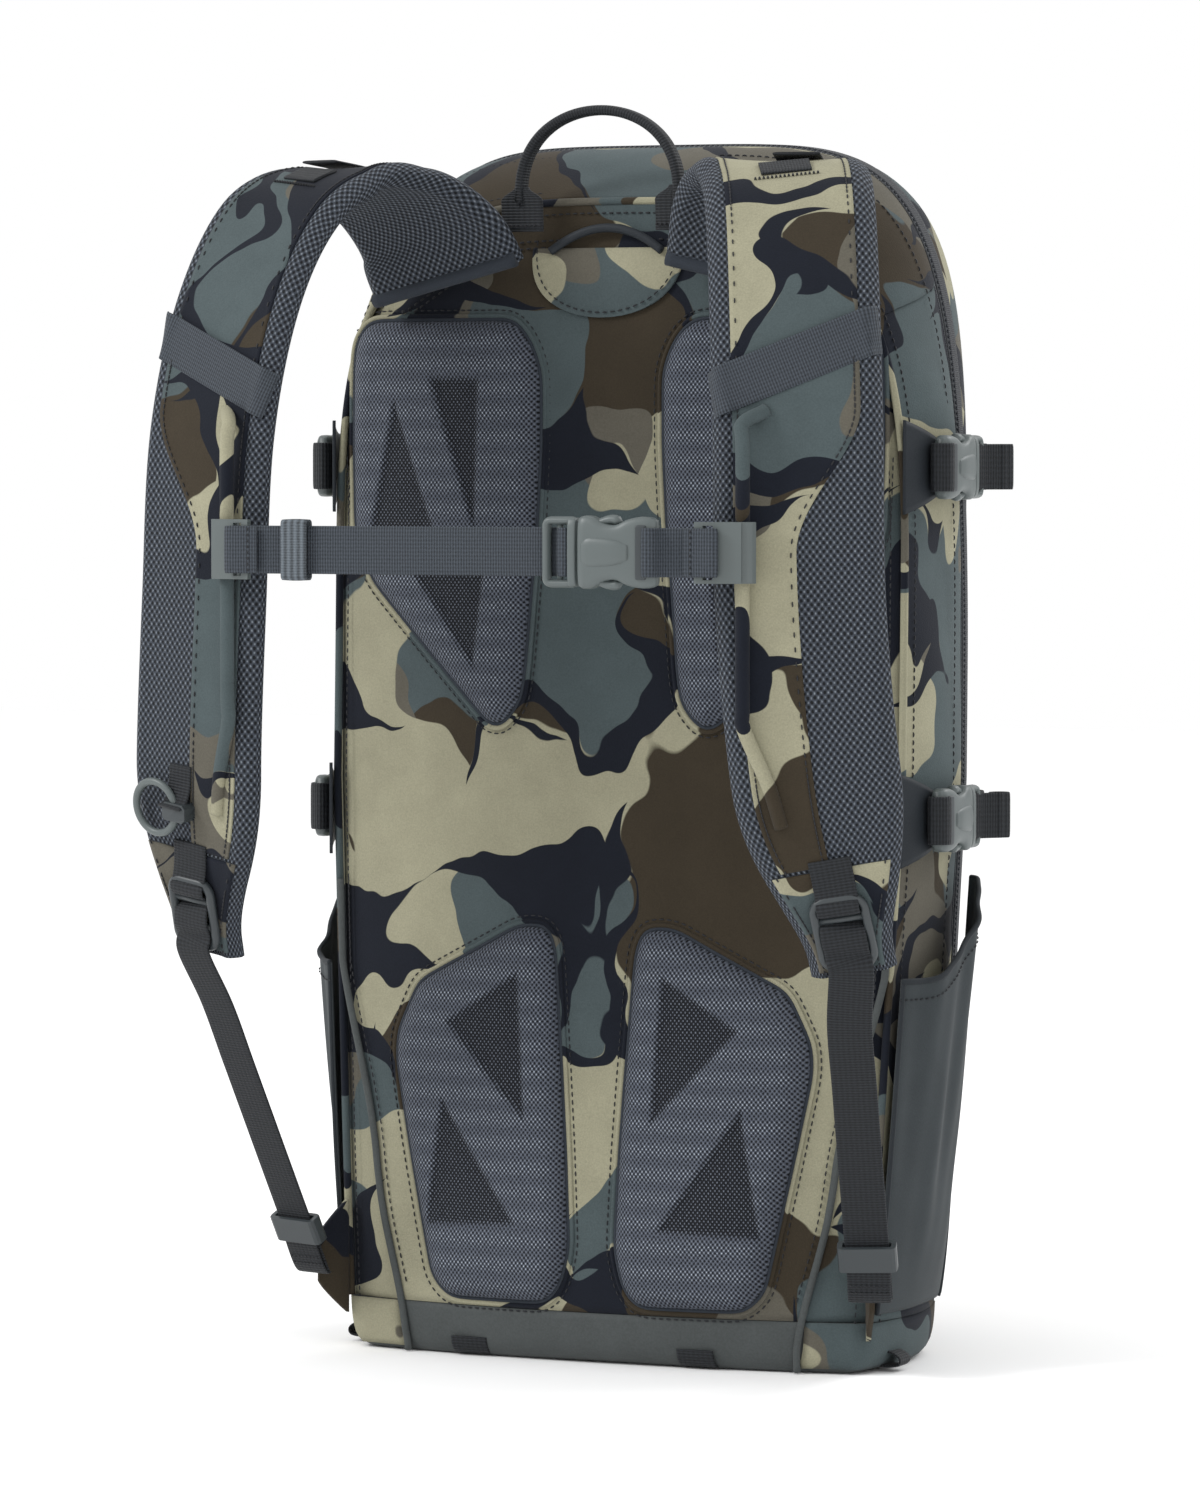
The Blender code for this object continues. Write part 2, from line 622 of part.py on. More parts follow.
def build_compression(side, word, level, z):
    name = f"{level}_{word}"
    sewn, end = place(0.1344, 0.0150, z), place(0.1397, 0.0315, z)
    tab_frame = axes(sewn, end - sewn, (0, 0, -1))
    tab = [(0.0, -0.019), (0.0173, -0.0125), (0.0173, 0.0125), (0.0, 0.019)]
    prism("side_tab_" + name, tab, (0.0, 0.0014), tab_frame, COATED, side=side)
    frame = axes(place(SIDE_FACE, SIDE_MOUTH, z), (0, -1, 0), (0, 0, -1))
    build_female("side_socket_" + name, frame, SIDE_FEMALE, 0.028, side)
    plug = build_male("side_plug_" + name, frame, SIDE_MALE, 0.027, SIDE_FEMALE, side)
    lean = place(0.0, SIDE_MOUTH, z)[1] - (SIDE_MOUTH - DEPTH_TO_ORIGIN)
    route = [(x, d - DEPTH_TO_ORIGIN + lean, z) for x, d in compression_route(z)[:3]]
    route += [tuple(place(x, d, z)) for x, d in compression_route(z)[3:]]
    web = band("side_web_" + name, route, (0, 0, 1), flat_section(WEB_20, WEB_THICK), WEBBING, side)
    return plug, web


def build_sternum():
    """The sternum strap at rest: two webs, the socket on the right, the plug and its keeper on the left."""
    face = RAIL_DEPTH - 0.0092
    mouth = 0.0515
    female, male = 0.034, 0.016
    frame = axes(body_point(mouth, face, STERNUM_Z), (1, 0, 0), (0, 0, 1))
    socket = build_female("sternum_socket", frame, female, 0.030)
    plug = build_male("sternum_plug", frame, male, 0.029, female)
    level = face - WEB_LEVEL
    tab_end = RAIL_X - 0.0165
    section = flat_section(WEB_20, WEB_THICK)
    left = [body_point(x, level, STERNUM_Z) for x in (-tab_end, 0.0, mouth - 0.004)]
    web_left = band("sternum_web_left", left, (0, 0, 1), section, WEBBING)
    right = [body_point(x, level, STERNUM_Z) for x in (mouth + female + 0.0006, tab_end)]
    web_right = band("sternum_web_right", right, (0, 0, 1), section, WEBBING)
    keeper_frame = axes(body_point(-0.079, level, STERNUM_Z), (0, 0, 1), (0, 1, 0))
    keeper = prism("sternum_keeper", rounded_rectangle(0.0250, 0.0056, 0.0012, 1), (-0.006, 0.006),
                   keeper_frame, WEBBING)
    hole = rounded_rectangle(0.0212, 0.0028, 0.0004, 1)
    cut(keeper, cutter("keeper_hole", hole, (-0.02, 0.02), keeper_frame))
    return socket, plug, web_left, web_right, keeper


# ---- Strap ends: ladder locks, adjusters, keepers and wings ----

LOCK_AT = 0.938  # how far along the strap the ladder lock's middle lies
ADJUSTER_RISE = 0.0125  # how far out from the strap's middle the adjuster starts, over the lock
ADJUSTER_FOOT = (0.1320, -0.0210, 0.046)
ADJUSTER_ACROSS = (0.956, 0.292, 0.0)
ADJUSTER_TAIL = 0.012
KEEPER_FROM_FOOT = 0.010


def adjuster_top():
    return Vector(strap_point(LOCK_AT, 0.0, ADJUSTER_RISE))


def adjuster_frame():
    """A frame at the adjuster's foot: X across the web, Y exactly along it, up to the ladder lock."""
    foot = Vector(body_point(*ADJUSTER_FOOT))
    along = (adjuster_top() - foot).normalized()
    across = Vector(ADJUSTER_ACROSS)
    return axes(foot, across - along * across.dot(along), along)


def build_strap_end(side, word):
    frame = strap_frame(LOCK_AT, 0.0, 0.0046)
    lock = prism("ladder_lock_" + word, rounded_rectangle(0.0250, 0.034, 0.005, 3), (0.0, 0.0042), frame,
                 PLASTIC, side=side)
    openings = ((0.0105, 0.0045), (-0.0010, 0.0045), (-0.0115, 0.0050))
    for k, (height, tall) in enumerate(openings):
        hole = rounded_rectangle(0.0180 if k < 2 else 0.0130, tall, 0.0010, 1, (0.0, height))
        cut(lock, cutter(f"lock_opening_{k}_{word}", hole, (-0.01, 0.02), frame, side))
    foot = adjuster_frame()
    along = foot.col[1].to_3d()
    top, low = adjuster_top(), foot.translation
    route = [top, low + (top - low) * 0.66, low + (top - low) * 0.33, low, low - along * ADJUSTER_TAIL]
    adjuster = band("adjuster_web_" + word, [tuple(p) for p in route], ADJUSTER_ACROSS,
                    flat_section(0.0190, WEB_THICK), WEBBING, side)
    ring_frame = axes(low + along * KEEPER_FROM_FOOT, foot.col[0].to_3d(), foot.col[2].to_3d())
    keeper = prism("web_keeper_" + word, rounded_rectangle(0.0250, 0.0072, 0.0020, 2), (-0.006, 0.006),
                   ring_frame, PLASTIC, side=side)
    slot = rounded_rectangle(0.0206, 0.0034, 0.0005, 1)
    cut(keeper,
        cutter("keeper_slot_" + word, slot, (-0.02, 0.02), ring_frame, side),
        cutter("keeper_gap_" + word, [(-0.003, 0.0), (0.003, 0.0), (0.003, -0.02), (-0.003, -0.02)],
               (-0.02, 0.02), ring_frame, side))
    seam = Vector(place(0.1225, 0.0125, 0.040))
    tip = Vector(body_point(0.1322, -0.0165, 0.040))
    wing_frame = axes(seam + (tip - seam) * 0.06, tip - seam, (0, 0, 1))
    reach = (tip - seam).length * 0.70
    wing = [(0.0, -0.025), (reach, -0.010), (reach, 0.010), (0.0, 0.025)]
    prism("wing_" + word, wing, (-0.0012, 0.0012), wing_frame, CAMO, side=side)
    return lock, adjuster, keeper


# ---- Handle, load lifters, zip sliders, hose port, ring ----

HANDLE_DEPTH = -0.002
HANDLE_FOOT = (0.037, 0.500)  # x and z of its sewn feet
HANDLE_TOP = 0.5385


def build_handle():
    """A rolled web in an arch, which folds about the line through its feet."""
    foot_x, foot_z = HANDLE_FOOT
    turns = np.radians(np.linspace(0.0, 180.0, 15))
    x = foot_x * np.cos(turns)
    z = foot_z + (HANDLE_TOP - foot_z) * np.sin(turns) ** 0.8
    route = [body_point(a, HANDLE_DEPTH, c) for a, c in zip(x, z)]
    section = [(0.0045 * math.cos(a), 0.0023 * math.sin(a)) for a in np.radians(np.arange(8) * 45 + 22.5)]
    return band("haul_handle", route, (0, 1, 0), section, WEBBING)


def build_lifter(side, word):
    route = [(0.1100, -0.0500, 0.5165), (0.1040, -0.0300, 0.5140), (0.0985, -0.0120, 0.5100),
             (0.0945, 0.0030, 0.5060), (0.0915, 0.0140, 0.5015)]
    points = [body_point(*point) for point in route]
    web = band("lifter_web_" + word, points, (1, 0.3, 0), flat_section(WEB_20, WEB_THICK), WEBBING, side)
    along = Vector(points[3]) - Vector(points[2])
    way = along.normalized()
    across = Vector((1, 0.3, 0)) - way * way.dot(Vector((1, 0.3, 0)))
    frame = axes((Vector(points[2]) + Vector(points[3])) / 2, across, along.cross(across))
    buckle = prism("lifter_buckle_" + word, rounded_rectangle(0.0270, 0.0080, 0.0020, 2), (-0.006, 0.006),
                   frame, PLASTIC, side=side)
    cut(buckle, cutter("lifter_slot_" + word, rounded_rectangle(0.0212, 0.0034, 0.0005, 1), (-0.02, 0.02),
                       frame, side))
    return web, buckle


SLIDER_REST = 0.128
SLIDER_TRAVEL = 0.060


def zip_run_point(z):
    """A point just outside the closed zip on the right side at height z, on its straight run."""
    return Vector(place(ZIP_ARCH[0] * taper(z) + 0.0010, 0.0905, z))


def build_zip_slider(side, word):
    low, high = zip_run_point(SLIDER_REST), zip_run_point(SLIDER_REST + SLIDER_TRAVEL)
    frame = axes(low, (0, 1, 0), high - low)
    half = [(0.0030, 0.0060), (0.0040, 0.0040), (0.0030, -0.0050), (0.0016, -0.0060), (0.0016, -0.0280)]
    outline = half + [(-x, y) for x, y in reversed(half)]
    return prism("zip_slider_" + word, outline, (0.0, 0.0032), frame, PLASTIC, side=side), high - low


RING_RADIUS = 0.0113
RING_TUBE = 0.00165
RING_AT = 0.835


def build_ring():
    """A plastic ring on the left strap, and the hook that is sewn there and closes round its rim."""
    frame = strap_frame(RING_AT, 0.0045, 0.0098)
    hook = rounded_rectangle(0.0130, 0.0080, 0.0015, 1, (-0.0015, 0.0))
    block = prism("ring_hook", hook, (-0.0042, 0.0034), frame, PLASTIC, side=-1)
    bore_frame = frame @ Matrix.Rotation(math.radians(-90), 4, "X")
    cut(block, cutter("hook_bore", regular_polygon(0.0027, 10, math.pi / 10), (-0.02, 0.02), bore_frame, -1))
    shape = bmesh.new()
    mirror = Matrix.Diagonal((-1, 1, 1, 1))
    around, about = 24, 8
    rows = []
    for i in range(around):
        turn = 2 * math.pi * i / around
        row = []
        for j in range(about):
            tilt = 2 * math.pi * j / about
            radius = RING_RADIUS + RING_TUBE * math.cos(tilt)
            x, y = RING_RADIUS - radius * math.cos(turn), radius * math.sin(turn)
            point = Vector((x, y, RING_TUBE * math.sin(tilt)))
            row.append(shape.verts.new(mirror @ frame @ point))
        rows.append(row)
    for i in range(around):
        for j in range(about):
            after, beside = rows[(i + 1) % around], (j + 1) % about
            shape.faces.new((rows[i][j], rows[i][beside], after[beside], after[j]))
    ring = from_bmesh("gear_ring", shape, PLASTIC)
    pivot = mirror @ frame.translation
    axis = mirror.to_3x3() @ frame.col[1].to_3d()
    return ring, pivot, axis


def build_hose_port():
    """The welted mouth of the hose port, an arc on the back between the handle's feet."""
    x = np.linspace(-0.026, 0.026, 9)
    z = 0.4885 - 0.010 * (x / 0.026) ** 2
    route = place(x, back_depth(x, z) - 0.0034, z)
    return band("hose_port_welt", route, (0, -0.3, 1), flat_section(0.0055, 0.0020), COATED)


# ---- Assembly: each moving piece keeps its origin on its joint's axis ----


def pivot_at(made, point):
    point = Vector(point)
    made.data.transform(Matrix.Translation(-point))
    made.location = point


def hang(child, parent):
    bpy.context.view_layer.update()
    child.parent = parent
    child.matrix_parent_inverse = parent.matrix_world.inverted()


def report_axis(name, point, axis):
    print("AXIS", name, [round(float(c), 6) for c in point], [round(float(c), 6) for c in axis])


front_panel = build_body()
door_pivot = place(0.0, front_depth(DOOR_FOOT), DOOR_FOOT)
pivot_at(front_panel, door_pivot)
report_axis("front_panel", door_pivot, (1, 0, 0))
for side, word in ((1, "right"), (-1, "left")):
    build_pocket(side, word)
    build_pad("upper_pad_" + word, UPPER_PAD, side, 0.0105)
    build_pad("lower_pad_" + word, LOWER_PAD, side, 0.0105)
    band("shoulder_strap_" + word, STRAP_LINE, strap_across(), strap_section, CAMO, side)
    build_rail(side, word)
    slider = build_sternum_slider(side, word)
    build_strap_end(side, word)
    build_lifter(side, word)
    pull, run = build_zip_slider(side, word)
    report_axis("zip_slider_" + word, flip(zip_run_point(SLIDER_REST), side), flip(run.normalized(), side))
    for level, z in SIDE_BUCKLES:
        plug, web = build_compression(side, word, level, z)
        hang(web, front_panel)
        hang(plug, front_panel)
frame = adjuster_frame()
report_axis("web_keeper", frame.translation + frame.col[1].to_3d() * KEEPER_FROM_FOOT, frame.col[1].to_3d())
build_sternum()
build_hose_port()
handle = build_handle()
handle_pivot = body_point(0.0, HANDLE_DEPTH, HANDLE_FOOT[1])
pivot_at(handle, handle_pivot)
report_axis("haul_handle", handle_pivot, (1, 0, 0))
ring, ring_pivot, ring_axis = build_ring()
pivot_at(ring, ring_pivot)
report_axis("gear_ring", ring_pivot, ring_axis)
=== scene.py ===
"""A tackle backpack's looks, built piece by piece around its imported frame."""

import math

import bpy
import numpy as np
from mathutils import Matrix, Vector


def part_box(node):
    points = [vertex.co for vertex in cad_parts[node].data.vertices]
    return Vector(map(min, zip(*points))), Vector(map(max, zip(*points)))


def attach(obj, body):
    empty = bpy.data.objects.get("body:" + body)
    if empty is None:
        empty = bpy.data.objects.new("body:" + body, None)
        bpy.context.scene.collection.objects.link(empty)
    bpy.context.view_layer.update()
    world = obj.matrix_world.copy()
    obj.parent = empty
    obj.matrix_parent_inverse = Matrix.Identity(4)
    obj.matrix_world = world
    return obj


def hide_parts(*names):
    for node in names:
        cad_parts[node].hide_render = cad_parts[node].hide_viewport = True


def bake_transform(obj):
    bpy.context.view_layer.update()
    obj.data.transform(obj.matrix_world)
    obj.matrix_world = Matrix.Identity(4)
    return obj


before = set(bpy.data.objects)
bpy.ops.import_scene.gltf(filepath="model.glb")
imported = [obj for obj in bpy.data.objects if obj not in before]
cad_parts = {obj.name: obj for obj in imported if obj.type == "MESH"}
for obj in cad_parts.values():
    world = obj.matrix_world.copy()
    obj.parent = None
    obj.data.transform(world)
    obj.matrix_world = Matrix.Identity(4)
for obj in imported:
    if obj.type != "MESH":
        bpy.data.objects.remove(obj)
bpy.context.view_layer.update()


# ---- The view: the harness side, seen from its right at chest height ----
# A long lens 3 m away, a white floor under a white sky, and large soft lamps.

VIEW_TURN = math.radians(23.2)
VIEW_DISTANCE = 3.0
VIEW_HEIGHT = 0.401
VIEW_WIDTH = 0.5243  # metres across the frame at the object

aim = Vector((-0.0210, -0.0090, 0.2620))
lens = bpy.data.cameras.new("studio_lens")
lens.sensor_fit = "HORIZONTAL"
lens.sensor_width = 36.0
lens.lens = 36.0 * VIEW_DISTANCE / VIEW_WIDTH
lens.clip_start = 0.05
lens.clip_end = 50.0
camera = bpy.data.objects.new("studio_camera", lens)
camera.location = (VIEW_DISTANCE * math.sin(VIEW_TURN), -VIEW_DISTANCE * math.cos(VIEW_TURN), VIEW_HEIGHT)
camera.rotation_euler = (camera.location - aim).to_track_quat("Z", "Y").to_euler()
bpy.context.scene.collection.objects.link(camera)
bpy.context.scene.camera = camera
bpy.context.scene.view_settings.view_transform = "Standard"


def plain_finish(name, colour, roughness):
    """A Principled material of one colour, ready for its pattern nodes."""
    made = bpy.data.materials.new(name)
    made.use_nodes = True
    shader = made.node_tree.nodes["Principled BSDF"]
    shader.inputs["Base Color"].default_value = (*colour, 1.0)
    shader.inputs["Roughness"].default_value = roughness
    return made


floor_mesh = bpy.data.meshes.new("studio_floor")
FLOOR_HALF = 6.0
corners = [(-FLOOR_HALF, -FLOOR_HALF, 0), (FLOOR_HALF, -FLOOR_HALF, 0), (FLOOR_HALF, FLOOR_HALF, 0),
           (-FLOOR_HALF, FLOOR_HALF, 0)]
floor_mesh.from_pydata([(x, y, -0.0002) for x, y, _ in corners], [], [(0, 1, 2, 3)])
floor_mesh.materials.append(plain_finish("studio_paper", (0.985, 0.985, 0.985), 1.0))
floor = bpy.data.objects.new("studio_floor", floor_mesh)
bpy.context.scene.collection.objects.link(floor)

world = bpy.data.worlds.new("studio_sky")
world.use_nodes = True
world.node_tree.nodes["Background"].inputs["Color"].default_value = (1.0, 1.0, 1.0, 1.0)
world.node_tree.nodes["Background"].inputs["Strength"].default_value = 1.0
bpy.context.scene.world = world


def softbox(name, place, power, size):
    """A square area lamp at place, aimed at the middle of the bag."""
    lamp = bpy.data.lights.new(name, "AREA")
    lamp.energy = power
    lamp.size = size
    made = bpy.data.objects.new(name, lamp)
    made.location = place
    made.rotation_euler = (Vector(place) - Vector((0, 0, 0.27))).to_track_quat("Z", "Y").to_euler()
    bpy.context.scene.collection.objects.link(made)


softbox("key_lamp", (-2.1, -1.9, 2.3), 58.0, 1.0)
softbox("fill_lamp", (2.4, -2.0, 1.3), 8.0, 1.4)
softbox("rim_lamp", (1.6, 1.9, 2.2), 30.0, 1.2)


# ---- The bag's body: printed woven fabric over a light foam lining ----
# Back, sides, crown, base and door are cut panels sewn edge to edge, so one form gives them all:
# arches (a foot, a straight side and a superellipse shoulder) carried from the back seam forward.

ORIGIN_DEPTH = 0.055
BACK_LEAN = 0.011
DEPTH = 0.195
TRAY_WALL = 0.0225
DOOR_FOOT = 0.085
STRAIGHT = 0.45
SEAM_ARCH = (0.1325, 0.500, 0.330, 3.3)
BELLY_ARCH = (0.1390, 0.518, 0.310, 4.0)
ZIP_ARCH = (0.1315, 0.525, 0.300, 4.7)
TOP_SEAM = 0.68
FOOT_TAPER, TAPER_TOP = 0.09, 0.25  # the foot is narrower by this share, up to this height
BACK_RADIUS = 0.55
BACK_SHOULDER, SHOULDER_RUN, SHOULDER_ROLL = 0.44, 0.06, 0.010
ZIP_DEPTH, ZIP_RISE, SHOULDER_BLEND = 0.090, 0.025, 0.40
FRONT_FOOT, FRONT_CHAMFER, FRONT_SWELL = 0.124, 0.066, 0.005
CLOTH = 0.002
BAG_MIDDLE = (0.0, 0.04, 0.27)


def ease(value):
    """Smooth step from 0 to 1."""
    value = np.clip(value, 0.0, 1.0)
    return value * value * (3.0 - 2.0 * value)


def place(x, d, z):
    """World points of (x, depth, height); the lower back leans out by BACK_LEAN."""
    x, d, z = np.broadcast_arrays(np.asarray(x, float), d, z)
    lean = BACK_LEAN * (1.0 - ease(z / 0.40)) * np.clip(1.0 - d / DEPTH, 0.0, 1.0)
    return np.stack([x, d - lean - ORIGIN_DEPTH, z], axis=-1)


def foot_taper(z):
    """The share of full width at height z: 1 above TAPER_TOP, falling in a straight line to the foot."""
    return 1.0 - FOOT_TAPER * np.clip((TAPER_TOP - z) / TAPER_TOP, 0.0, 1.0)


def arch(outline, s, foot):
    """Half an arch (x, z): a straight side, then a superellipse quarter turned through by angle."""
    half, crown, start, power = outline
    s = np.asarray(s, float)
    straight = foot + (start - foot) * s / STRAIGHT
    turn = np.clip((s - STRAIGHT) / (1.0 - STRAIGHT), 0.0, 1.0) * math.pi / 2
    across, up = np.maximum(np.cos(turn), 0.0), np.maximum(np.sin(turn), 0.0)
    reach = (across**power + up**power) ** (-1.0 / power)
    z = np.where(s < STRAIGHT, straight, start + (crown - start) * up * reach)
    return half * across * reach * foot_taper(z), z


def back_depth(x, z):
    """The back is a cylinder of BACK_RADIUS that rolls forward over its top."""
    return x**2 / (2 * BACK_RADIUS) + SHOULDER_ROLL * ease((z - BACK_SHOULDER) / SHOULDER_RUN)


def zip_depth(s):
    """The zip's depth along its arch: level up the sides, then eased back over the crown."""
    return ZIP_DEPTH - ZIP_RISE * ease((s - STRAIGHT) / SHOULDER_BLEND)


def front_depth(z):
    """The front's depth at its middle: a straight chamfer up to the door's foot, then a slight swell."""
    chamfer = FRONT_FOOT + FRONT_CHAMFER * np.clip(z / DOOR_FOOT, 0.0, 1.0)
    return chamfer + FRONT_SWELL * ease((z - DOOR_FOOT) / 0.10)


def gusset(s, k, foot=TRAY_WALL):
    """(x, depth, z) of the sides and crown: a quadratic in k from back seam through belly to zip."""
    seam_x, seam_z = arch(SEAM_ARCH, s, foot)
    belly_x, belly_z = arch(BELLY_ARCH, s, foot)
    zip_x, zip_z = arch(ZIP_ARCH, s, foot)
    seam_d = back_depth(seam_x, seam_z)
    first, middle, last = (1 - k) * (1 - 2 * k), 4 * k * (1 - k), k * (2 * k - 1)
    x = first * seam_x + middle * belly_x + last * zip_x
    z = first * seam_z + middle * belly_z + last * zip_z
    return x, seam_d + (zip_depth(s) - seam_d) * k, z


def ripples(points, length, height, seed):
    """A soft wrinkle field: nine sine waves of random direction and phase, summed at each point."""
    draw = np.random.default_rng(seed)
    total = np.zeros(points.shape[:-1])
    for _ in range(9):
        way = draw.normal(size=3)
        way *= 2 * math.pi / length * draw.uniform(0.6, 1.5) / np.linalg.norm(way)
        total += np.sin(points @ way + draw.uniform(0, 2 * math.pi))
    return total / 3.0 * height


def grid_normals(points):
    """Unit normals of a point grid, from the cross product of its two directions."""
    normal = np.cross(np.gradient(points, axis=0), np.gradient(points, axis=1))
    size = np.linalg.norm(normal, axis=-1, keepdims=True)
    return normal / np.maximum(size, 1e-12)


def outward_sign(points, wrap):
    """1 where a grid's faces look outward as its rows and columns run, else -1.

    It is the sign of the volume between the faces and the mesh's own middle, or the bag's for a sheet."""
    first, beside, below = points[:-1, :-1], points[:-1, 1:], points[1:, :-1]
    normal = np.cross(beside - first, below - first)
    origin = points.reshape(-1, 3).mean(axis=0) if wrap else np.asarray(BAG_MIDDLE)
    return 1 if ((first - origin) * normal).sum() > 0 else -1


def surface(name, points, finish, wrap=False, ring=False, caps=False):
    """A mesh from a grid of points (rows, columns), with a UV map in metres along its two directions.

    wrap joins the last column to the first and ring the last row; caps closes the first and last rows."""
    rows, columns = points.shape[:2]
    index = np.arange(rows * columns).reshape(rows, columns)
    grid = points
    if wrap:
        index, grid = np.hstack([index, index[:, :1]]), np.concatenate([grid, grid[:, :1]], axis=1)
    if ring:
        index, grid = np.vstack([index, index[:1]]), np.concatenate([grid, grid[:1]])
    long = np.concatenate([[0.0], np.cumsum(np.linalg.norm(np.diff(grid, axis=0), axis=2).mean(axis=1))])
    wide = np.concatenate([[0.0], np.cumsum(np.linalg.norm(np.diff(grid, axis=1), axis=2).mean(axis=0))])
    coordinates = np.stack(np.meshgrid(wide, long), axis=-1)
    quads = np.stack([index[:-1, :-1], index[:-1, 1:], index[1:, 1:], index[1:, :-1]],
                     axis=-1).reshape(-1, 4)
    corners = np.stack([coordinates[:-1, :-1], coordinates[:-1, 1:], coordinates[1:, 1:],
                        coordinates[1:, :-1]], axis=2).reshape(-1, 4, 2)
    ends = [index[0, :columns][::-1], index[-1, :columns]]
    if outward_sign(grid, wrap) < 0:
        quads, corners, ends = quads[:, ::-1], corners[:, ::-1], [end[::-1] for end in ends]
    sizes = [4] * len(quads)
    loops, uvs = quads.ravel(), corners.reshape(-1, 2)
    if caps:
        loops = np.concatenate([loops, *ends])
        uvs = np.concatenate([uvs, np.zeros((2 * columns, 2))])
        sizes += [columns, columns]
    mesh = bpy.data.meshes.new(name)
    mesh.vertices.add(rows * columns)
    mesh.vertices.foreach_set("co", points.astype(np.float32).ravel())
    mesh.loops.add(len(loops))
    mesh.loops.foreach_set("vertex_index", loops.astype(np.int32))
    mesh.polygons.add(len(sizes))
    mesh.polygons.foreach_set("loop_start", np.concatenate([[0], np.cumsum(sizes)[:-1]]).astype(np.int32))
    mesh.update(calc_edges=True)
    mesh.uv_layers.new(name="lay").data.foreach_set("uv", uvs.astype(np.float32).ravel())
    mesh.polygons.foreach_set("use_smooth", [True] * len(sizes))
    mesh.materials.append(finish)
    made = bpy.data.objects.new(name, mesh)
    bpy.context.scene.collection.objects.link(made)
    return made


def settle(piece, body, slot, *hidden):
    """Every piece's frame calls: the body it rides on and the CAD nodes it stands for; slot is not used."""
    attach(piece, body)
    if hidden:
        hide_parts(*hidden)
    return piece


def thicken(piece, thick, offset=-1.0):
    """Gives a sheet its wall: thick metres, grown inward at offset -1, both ways at 0 and outward at 1."""
    wall = piece.modifiers.new("cloth_thickness", "SOLIDIFY")
    wall.thickness = thick
    wall.offset = offset
    return piece


def mirror_x(points):
    """The same points on the bag's other side: x turned to -x."""
    return points * np.array([-1.0, 1.0, 1.0])


def on_side(points, side):
    """Points of the right side as they are, or mirrored for the left."""
    return points if side > 0 else mirror_x(points)


def both_sides(half):
    """Rows of the right half, then their mirrored copy back down, sharing the row on the middle line."""
    return np.concatenate([half, mirror_x(half[-2::-1])])


def link_nodes(tree, kind, sockets, **settings):
    """One shader node: settings are its properties, sockets its inputs, linked or given a value."""
    made = tree.nodes.new(kind)
    for key, value in settings.items():
        setattr(made, key, value)
    for key, value in sockets.items():
        if isinstance(value, bpy.types.NodeSocket):
            tree.links.new(value, made.inputs[key])
        else:
            made.inputs[key].default_value = value
    return made


def maths(tree, operation, *values):
    """A maths node of one operation, its inputs given in order as sockets or numbers."""
    return link_nodes(tree, "ShaderNodeMath", dict(enumerate(values)), operation=operation)


def new_group(name, inputs, outputs):
    """A shader node group with its named sockets; returns it with its input and output nodes."""
    group = bpy.data.node_groups.new(name, "ShaderNodeTree")
    for kind, label, value in inputs:
        socket = group.interface.new_socket(name=label, in_out="INPUT", socket_type=kind)
        if value is not None:
            socket.default_value = value
    for kind, label in outputs:
        group.interface.new_socket(name=label, in_out="OUTPUT", socket_type=kind)
    return group, group.nodes.new("NodeGroupInput"), group.nodes.new("NodeGroupOutput")


def above(tree, value, level, sharp=320.0):
    """A mask that is 1 where value is above level, with an edge 1/sharp wide."""
    shifted = maths(tree, "SUBTRACT", value, level)
    made = maths(tree, "MULTIPLY_ADD", shifted.outputs[0], sharp, 0.5)
    made.use_clamp = True
    return made.outputs[0]


